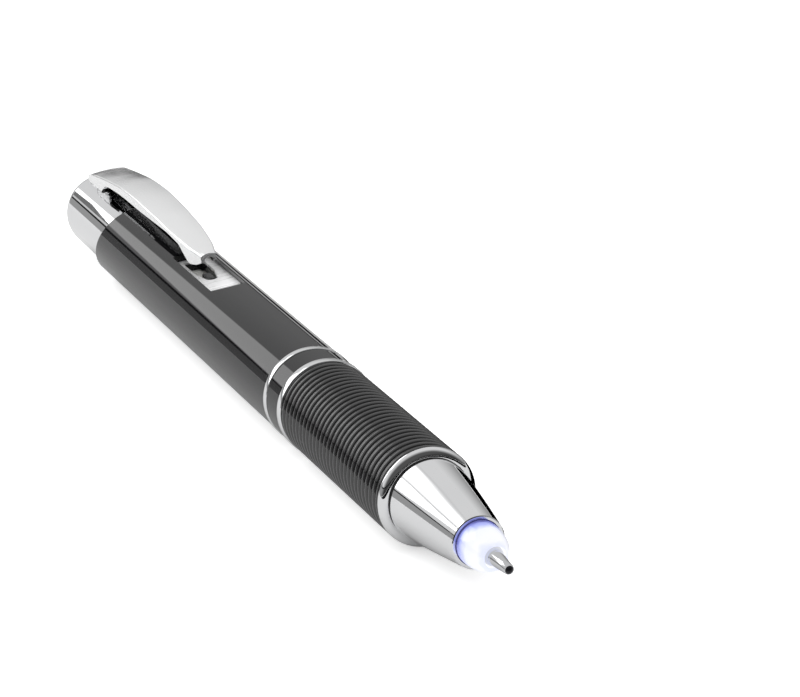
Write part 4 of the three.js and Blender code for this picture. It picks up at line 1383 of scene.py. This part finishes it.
@dataclass
class FrontSection:
    """What unscrews from the barrel: band, front ring, ribbed grip, nose and lens."""

    ribs: int = 28
    rib_depth: float = 0.22
    neck_radius: float = 4.85
    shoulder: float = 0.9
    groove: float = 0.45
    rim_radius: float = 3.06

    def build(self, dresser: Dresser, rings: RingRowTree) -> None:
        """Builds and dresses the front section.

        Args:
            dresser: What puts the pieces on their bodies.
            rings: The rule that sets the ribs.
        """
        for name, node, slot, edge in (
            ("lacquered_band", "joint_band", Slot.LACQUER, 0.05),
            ("front_ring", "front_chrome_ring", Slot.CHROME, 0.18),
        ):
            span = Span.of(node)
            bore = span.radius - 0.98
            outline = [
                (span.rear, bore), (span.rear, span.radius), (span.front, span.radius), (span.front, bore)
            ]
            dresser.dress(Bench.revolve(name, softened(outline, edge)), Body.FRONT, slot, node)
        dresser.dress(self._grip(dresser, rings), Body.FRONT, Slot.GRIP, "grip_sleeve")
        dresser.dress(self._nose(), Body.FRONT, Slot.CHROME, "nose_cone")
        # Painted shade: a dark ring in the groove stands in for the groove's shade and dark reflection.
        dresser.dress(self._groove_shade_ring(), Body.FRONT, Slot.RUBBER)
        dresser.dress(self._lens(), Body.FRONT, Slot.LENS, "lamp_lens")

    def _grip(self, dresser: Dresser, rings: RingRowTree) -> bpy.types.Object:
        """The grip: a sleeve with a row of round ribs.

        Args:
            dresser: Gives the material.
            rings: The rule that sets the ribs.

        Returns:
            The grip.
        """
        grip = Span.of("grip_sleeve")
        valley, bore = grip.radius - self.rib_depth, grip.radius - 1.0
        outline = [(grip.rear, bore), (grip.rear, valley), (grip.front, valley), (grip.front, bore)]
        piece = Bench.revolve("ribbed_grip", outline)
        pitch = grip.length / self.ribs
        section = 0.46
        rings.run(
            piece, Count=self.ribs, Start=((grip.rear + pitch / 2) * MM, 0.0, AXIS * MM),
            Pitch=(pitch * MM, 0.0, 0.0),
            Ring_Radius=(grip.radius - section) * MM, Section_Radius=section * MM,
            Material=dresser.palette.get(Slot.GRIP),
        )  # fmt: skip
        return piece

    def _nose(self) -> bpy.types.Object:
        """The chrome nose: rounded shoulder, groove, cone and rounded rim."""
        nose, grip, lens = Span.of("nose_cone"), Span.of("grip_sleeve"), Span.of("lamp_lens")
        start = grip.front + 0.03
        radius = nose.radius
        neck = start + self.shoulder
        profile: list[Point] = [(nose.rear, 3.1), (nose.rear, 3.55), (start, 3.55), (start, radius - 0.04)]
        profile += quarter(start + 0.02, radius, self.shoulder - 0.02, radius - self.neck_radius)
        profile += [(neck, self.neck_radius - 0.3), (neck + self.groove, self.neck_radius - 0.3)]
        profile += [
            (neck + self.groove, self.neck_radius - 0.04), (neck + self.groove + 0.04, self.neck_radius)
        ]
        for i in range(1, 12):
            share = i / 12
            station = neck + self.groove + (nose.front - neck - self.groove) * share
            bulge = 0.05 * math.sin(math.pi * share)
            profile.append((station, self.neck_radius + (self.rim_radius - self.neck_radius) * share + bulge))
        wall = self.rim_radius - lens.radius
        profile += [(nose.front - 0.1, self.rim_radius + 0.01), (nose.front, self.rim_radius - 0.1)]
        profile += [(nose.front, lens.radius + 0.08), (nose.front - 0.08, lens.radius + 0.02)]
        profile += [
            (lens.rear, lens.radius + 0.02), (lens.rear, lens.radius + 0.4),
            (neck + 1, self.neck_radius - wall - 0.4)
        ]
        profile += [(start, 3.1)]
        return Bench.revolve("chrome_nose", profile)

    def _groove_shade_ring(self) -> bpy.types.Object:
        """The dark ring that lies in the nose's groove: a rubber ring whose black also paints the groove's
        shade and dark reflection.
        """
        start = Span.of("grip_sleeve").front + 0.03 + self.shoulder
        outer = self.neck_radius - 0.05
        outline = [
            (start + 0.02, outer - 0.24), (start + 0.02, outer), (start + self.groove - 0.02, outer),
            (start + self.groove - 0.02, outer - 0.24)
        ]
        return Bench.revolve("painted_shade_groove_ring", softened(outline, 0.08))

    def _lens(self) -> bpy.types.Object:
        """The lens: a clear bullet round the refill."""
        nose, lens, refill = Span.of("nose_cone"), Span.of("lamp_lens"), Span.of("refill_tube")
        bore = refill.radius + 0.075
        small = 1.45
        shape = Course(((0, 1.0), (0.25, 0.965), (0.5, 0.86), (0.75, 0.62), (0.92, 0.27), (1.0, 0.0)))
        profile: list[Point] = [(lens.rear, bore), (lens.rear, lens.radius)]
        for i in range(25):
            share = i / 24
            profile.append(
                (
                    nose.front + (lens.front - nose.front) * share,
                    small + (lens.radius - small) * shape.at(share)
                )
            )
        profile.append((lens.front, bore))
        return Bench.revolve("lamp_bullet", profile)


@dataclass
class Refill:
    """The refill's turned tip and its writing ball."""

    lip: float = 0.3
    ball_fit: float = 0.02

    def build(self, dresser: Dresser) -> None:
        """Builds and dresses the tip and the ball.

        Args:
            dresser: What puts the pieces on their bodies.
        """
        tip, ball = Span.of("refill_tip"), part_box("writing_ball")
        end = ball[1].x / MM
        radius = (ball[1].x - ball[0].x) / 2 / MM
        centre = end - radius
        lip = end - self.lip
        cup = radius + self.ball_fit
        socket = math.sqrt(cup**2 - (lip - centre) ** 2)
        opening = math.acos((lip - centre) / cup)
        turns = [opening + (math.pi - opening) * i / 8 for i in range(8)]
        hollow = [(centre + cup * math.cos(a), cup * math.sin(a)) for a in turns]
        profile = [
            (tip.rear, 0.0), (tip.rear, tip.radius), (end - 4.5, tip.radius), (end - 4.2, tip.radius - 0.04),
            (end - 3.65, 0.9), (end - 3.55, 0.86), (end - 1.3, socket + 0.17), (lip - 0.06, socket + 0.08),
            (lip, socket + 0.05), *hollow, (centre - cup, 0.0),
        ]  # fmt: skip
        dresser.dress(Bench.revolve("turned_tip", profile, 72), Body.REFILL, Slot.TIP, "refill_tip")
        turns = [math.pi * i / 24 for i in range(25)]
        round_profile = [(centre - radius * math.cos(a), radius * math.sin(a)) for a in turns]
        round_profile[0], round_profile[-1] = (centre - radius, 0.0), (centre + radius, 0.0)
        dresser.dress(Bench.revolve("rolling_ball", round_profile, 48), Body.BALL, Slot.BALL, "writing_ball")


# ---- Studio -----------------------------------------------------------------------------------------------


@dataclass
class Studio:
    """A pale floor, soft light and the camera."""

    sky: float = 0.70
    far_sky: float = 0.28
    dim_until: float = 0.052
    dim_share: float = 0.45
    line_height: float = 0.078
    front_share: float = 0.12
    floor_tone: float = 0.92
    floor_lift: float = 0.5
    mirrored_tone: float = 0.60
    fill_strength: float = 2.6
    box_radiance: float = 2.2
    box_roll: float = 14.0
    wedge_tone: float = 0.17
    stripe_tone: float = 0.6
    upper_radiance: float = 2.2

    def build(self) -> None:
        """Builds the floor, the lights and the camera."""
        self._view()
        self._floor()
        self._sky()
        self._lights()
        self._camera()

    @staticmethod
    def _view() -> None:
        """Sets a plain view of the light, with no filmic curve."""
        settings = bpy.context.scene.view_settings
        settings.view_transform = "Standard"
        settings.look = "None"

    def _floor(self) -> None:
        """A plain pale floor."""
        mesh = bpy.data.meshes.new("floor")
        reach = 2.5
        mesh.from_pydata(
            [(-reach, -reach, 0), (reach, -reach, 0), (reach, reach, 0), (-reach, reach, 0)], [],
            [(0, 1, 2, 3)]
        )
        floor = bpy.data.objects.new("floor", mesh)
        bpy.context.scene.collection.objects.link(floor)
        material = bpy.data.materials.new("pale_floor")
        material.use_nodes = True
        w = Wiring(material.node_tree)
        output = w.node("ShaderNodeOutputMaterial")
        shader = w.node("ShaderNodeBsdfPrincipled", in_Roughness=0.9)
        shader.inputs["Specular IOR Level"].default_value = 0.1
        shader.inputs["Emission Color"].default_value = (1, 1, 1, 1)
        shader.inputs["Emission Strength"].default_value = self.floor_lift
        mirrored = w.node("ShaderNodeBsdfDiffuse", in_Color=(self.mirrored_tone,) * 3 + (1,))
        rays = w.node("ShaderNodeLightPath")
        either = w.node("ShaderNodeMixShader")
        w.link(rays.outputs["Is Glossy Ray"], either.inputs[0])
        w.link(shader.outputs[0], either.inputs[1])
        w.link(mirrored.outputs[0], either.inputs[2])
        w.link(either.outputs[0], output.inputs[0])
        place = w.node("ShaderNodeTexCoord")
        noise = w.node("ShaderNodeTexNoise", in_Scale=40.0)
        w.link(place.outputs["Object"], noise.inputs["Vector"])
        mix = w.node("ShaderNodeMix", data_type="RGBA")
        mix.inputs[6].default_value = (self.floor_tone,) * 3 + (1,)
        mix.inputs[7].default_value = (self.floor_tone + 0.01,) * 3 + (1,)
        w.link(noise.outputs["Fac"], mix.inputs[0])
        w.link(mix.outputs[2], shader.inputs["Base Color"])
        floor.data.materials.append(material)

    def _sky(self) -> None:
        """A pale surround, darker toward the far side's horizon, with a thin dark band above the floor."""
        world = bpy.data.worlds.new("soft_surround")
        bpy.context.scene.world = world
        world.use_nodes = True
        w = Wiring(world.node_tree)
        output = w.node("ShaderNodeOutputWorld")
        background = w.node("ShaderNodeBackground", in_Strength=1.0)
        place, axes = w.node("ShaderNodeTexCoord"), w.node("ShaderNodeSeparateXYZ")
        w.link(place.outputs["Generated"], axes.inputs[0])
        height, side = axes.outputs[2], axes.outputs[1]
        far = self._range(w, height, 0.0, 0.5, self.far_sky, self.sky)
        share = self._range(w, side, -0.1, 0.3, 0.0, 1.0)
        near_part = w.math("MULTIPLY", w.math("SUBTRACT", 1.0, share), self.sky)
        bright = w.math("ADD", near_part, w.math("MULTIPLY", share, far))
        leaning = w.math("ADD", height, w.math("MULTIPLY", side, 0.1735))
        low = self._range(w, leaning, self.dim_until - 0.006, self.dim_until + 0.006, self.dim_share, 1.0)
        away = w.math("ABSOLUTE", w.math("SUBTRACT", leaning, self.line_height))
        clear_of_line = self._range(w, away, 0.016, 0.030, 0.015, 1.0)
        open_sky = w.math("MULTIPLY", low, clear_of_line)
        front = self._range(w, axes.outputs[0], -0.1, 0.5, 1.0, self.front_share)
        tone = w.math("MULTIPLY", w.math("MULTIPLY", bright, open_sky), front)
        colour = w.node("ShaderNodeCombineColor")
        for socket in colour.inputs:
            w.link(tone, socket)
        w.link(colour.outputs[0], background.inputs["Color"])
        w.link(background.outputs[0], output.inputs[0])

    @staticmethod
    def _range(
        w: Wiring, value: bpy.types.NodeSocket, low: float, high: float, first: float, last: float
    ) -> bpy.types.NodeSocket:
        """A value mapped from one range to another and held at its ends.

        Args:
            w: The wiring.
            value: The value.
            low: Where the range starts.
            high: Where it ends.
            first: The result at its start.
            last: The result at its end.

        Returns:
            The mapped value.
        """
        made = w.node("ShaderNodeMapRange", clamp=True)
        w.link(value, made.inputs["Value"])
        for name, number in (("From Min", low), ("From Max", high), ("To Min", first), ("To Max", last)):
            made.inputs[name].default_value = number
        return made.outputs["Result"]

    def _lights(self) -> None:
        """The overhead fill, the soft box behind the cap and the dark flag on the far side."""
        fill = bpy.data.lights.new("overhead_fill", "SUN")
        fill.energy = self.fill_strength
        fill.angle = math.radians(120)
        lamp = bpy.data.objects.new("overhead_fill", fill)
        lamp.rotation_euler = (math.radians(12), math.radians(-14), 0)
        lamp.visible_glossy = False
        bpy.context.scene.collection.objects.link(lamp)
        self._soft_box(
            "rear_box", self._toward(211, 23.2, 0.5), (0.305, 0.245), self.box_roll, self.box_radiance, 0.015
        )
        self._soft_box("upper_box", self._toward(208, 45, 0.5), (0.42, 0.20), 0.0, self.upper_radiance, 0.06)
        floor_level = 0.0002
        self._flag(
            "far_flag",
            [
                (-0.165, 0.035, floor_level), (-0.02, 0.035, floor_level), (-0.02, 0.012, floor_level),
                (0.06, 0.012, floor_level), (0.06, 0.035, floor_level), (0.01, 0.3, floor_level),
                (-0.165, 0.3, floor_level)
            ]
        )
        self._flag(
            "front_flag",
            [
                (0.088, -0.4, floor_level), (0.6, -0.4, floor_level), (0.6, 0.4, floor_level),
                (0.088, 0.4, floor_level)
            ]
        )
        cap, end = Span.of("cap_shell"), Span.of("barrel_tube").rear + 5.5
        half_way = (cap.rear + end) / 2
        wedge = ((cap.rear, -61.5), (end, -60.0), (end, -56.6), (half_way, -44.8), (cap.rear, -50.0))
        stripe = ((cap.rear, -67.0), (end, -65.5), (end, -60.0), (cap.rear, -61.5))
        behind = -0.27
        self._flag(
            "far_board",
            [(behind, 0.035, 0.0), (behind, 0.12, 0.0), (behind, 0.12, 0.023), (behind, 0.035, 0.019)]
        )
        self._flag("cap_wedge", self._cap_card(wedge), self.wedge_tone)
        self._flag("cap_stripe", self._cap_card(stripe), self.stripe_tone)

    @staticmethod
    def _toward(azimuth: float, elevation: float, distance: float) -> Vector:
        """A place seen from the pen's middle.

        Args:
            azimuth: Degrees from +X toward +Y.
            elevation: Degrees above the floor.
            distance: Metres.

        Returns:
            The place.
        """
        a, e = math.radians(azimuth), math.radians(elevation)
        return Vector((math.cos(a) * math.cos(e), math.sin(a) * math.cos(e), math.sin(e))) * distance

    @staticmethod
    def _soft_box(
        name: str, place: Vector, size: tuple[float, float], roll: float, radiance: float, fade: float
    ) -> None:
        """A rectangular soft light that faces the pen and fades toward its edges.

        Args:
            name: The light's name.
            place: Where it stands.
            size: Its width and height in metres.
            roll: How far it is turned about its own axis, in degrees.
            radiance: How bright its middle is.
            fade: The width of the faded border, in metres.
        """
        width, height = size[0] / 2, size[1] / 2
        mesh = bpy.data.meshes.new(name)
        mesh.from_pydata(
            [(-width, -height, 0), (width, -height, 0), (width, height, 0), (-width, height, 0)], [],
            [(0, 1, 2, 3)]
        )
        panel = bpy.data.objects.new(name, mesh)
        turn = (-place).to_track_quat("Z", "Y").to_matrix().to_4x4()
        panel.matrix_world = Matrix.Translation(place) @ turn @ Matrix.Rotation(math.radians(roll), 4, "Z")
        bpy.context.scene.collection.objects.link(panel)
        material = bpy.data.materials.new(name)
        material.use_nodes = True
        w = Wiring(material.node_tree)
        output, shader = w.node("ShaderNodeOutputMaterial"), w.node("ShaderNodeEmission")
        spot, axes = w.node("ShaderNodeTexCoord"), w.node("ShaderNodeSeparateXYZ")
        w.link(spot.outputs["Object"], axes.inputs[0])
        across = Studio._range(w, w.math("ABSOLUTE", axes.outputs[0]), width - fade, width, 1.0, 0.0)
        upward = Studio._range(w, w.math("ABSOLUTE", axes.outputs[1]), height - fade, height, 1.0, 0.0)
        w.link(w.math("MULTIPLY", w.math("MULTIPLY", across, upward), radiance), shader.inputs["Strength"])
        clear, either = w.node("ShaderNodeBsdfTransparent"), w.node("ShaderNodeMixShader")
        w.link(w.math("MULTIPLY", across, upward), either.inputs[0])
        w.link(clear.outputs[0], either.inputs[1])
        w.link(shader.outputs[0], either.inputs[2])
        w.link(either.outputs[0], output.inputs[0])
        mesh.materials.append(material)
        panel.visible_camera = False
        panel.visible_shadow = False

    @staticmethod
    def _cap_card(spots: tuple[tuple[float, float], ...]) -> list[tuple[float, float, float]]:
        """The corners of a small card behind the cap that shows in the cap's gloss.

        Args:
            spots: For each corner, the station on the cap that mirrors it and the slant of the mirrored ray.

        Returns:
            The corners, in metres.
        """
        radius = Span.of("cap_shell").radius
        reach, along, aside, facing = 0.06, 0.914, 0.405, 38.0
        corners = []
        for station, slant in spots:
            turn = math.radians(slant)
            normal = math.radians((slant - facing) / 2)
            y = radius * MM * math.sin(normal) + aside * reach * math.sin(turn)
            z = (AXIS + radius * math.cos(normal)) * MM + aside * reach * math.cos(turn)
            corners.append((station * MM - along * reach, y, z))
        return corners

    @staticmethod
    def _flag(name: str, points: list[tuple[float, float, float]], tone: float = 0.0) -> None:
        """A dark card that only shows in reflections.

        Args:
            name: The card's name.
            points: Its corners, in metres.
            tone: How bright it is of itself.
        """
        mesh = bpy.data.meshes.new(name)
        mesh.from_pydata(points, [], [tuple(range(len(points)))])
        card = bpy.data.objects.new(name, mesh)
        bpy.context.scene.collection.objects.link(card)
        material = bpy.data.materials.new(name)
        material.use_nodes = True
        w = Wiring(material.node_tree)
        output = w.node("ShaderNodeOutputMaterial")
        shader = w.node("ShaderNodeEmission", in_Strength=tone)
        w.link(shader.outputs[0], output.inputs[0])
        mesh.materials.append(material)
        card.visible_camera = False
        card.visible_diffuse = False
        card.visible_shadow = False

    @staticmethod
    def _camera() -> None:
        """The camera, low in front of the tip and to its right."""
        data = bpy.data.cameras.new("camera")
        data.sensor_width = 36.0
        data.lens = 157.5
        data.shift_x, data.shift_y = -0.00375, -0.0031
        camera = bpy.data.objects.new("camera", data)
        ahead = Vector((-0.8745, 0.3140, -0.3696)).normalized()
        right = Vector((0.3788, 0.9181, -0.1164))
        right = (right - ahead * right.dot(ahead)).normalized()
        up = right.cross(ahead)
        turn = Matrix((right, up, -ahead)).transposed().to_4x4()
        camera.matrix_world = Matrix.Translation((0.3781, -0.1189, 0.1633)) @ turn
        bpy.context.scene.collection.objects.link(camera)
        bpy.context.scene.camera = camera


KEPT_SLOTS: dict[Slot, tuple[str, ...]] = {
    Slot.PLASTIC: ("coupling_insert", "guide_sleeve", "cap_insert", "cell_holder", "section_tube"),
    Slot.RUBBER: ("friction_ring", "joint_seal"),
    Slot.WHITE: ("push_rod",),
    Slot.CELL: ("button_cell_1", "button_cell_2", "button_cell_3"),
    Slot.SPRING: ("return_spring",),
    Slot.BRASS: ("contact_stud", "contact_bush", "refill_tube", "refill_collar"),
    Slot.BOARD: ("lamp_board",),
    Slot.LAMP: ("uv_led_left", "uv_led_right"),
}


def main() -> None:
    """Builds the pen's looks, then the studio."""
    logging.basicConfig(level=logging.INFO, format="%(name)s: %(message)s")
    dresser = Dresser(Palette(Effects()))
    coils, rings = CoilTree(), RingRowTree()
    Barrel().build(dresser)
    Cap().build(dresser, coils)
    Clip().build(dresser)
    FrontSection().build(dresser, rings)
    Refill().build(dresser)
    dresser.dress_kept(KEPT_SLOTS)
    Studio().build()


if __name__ == "__main__":
    main()
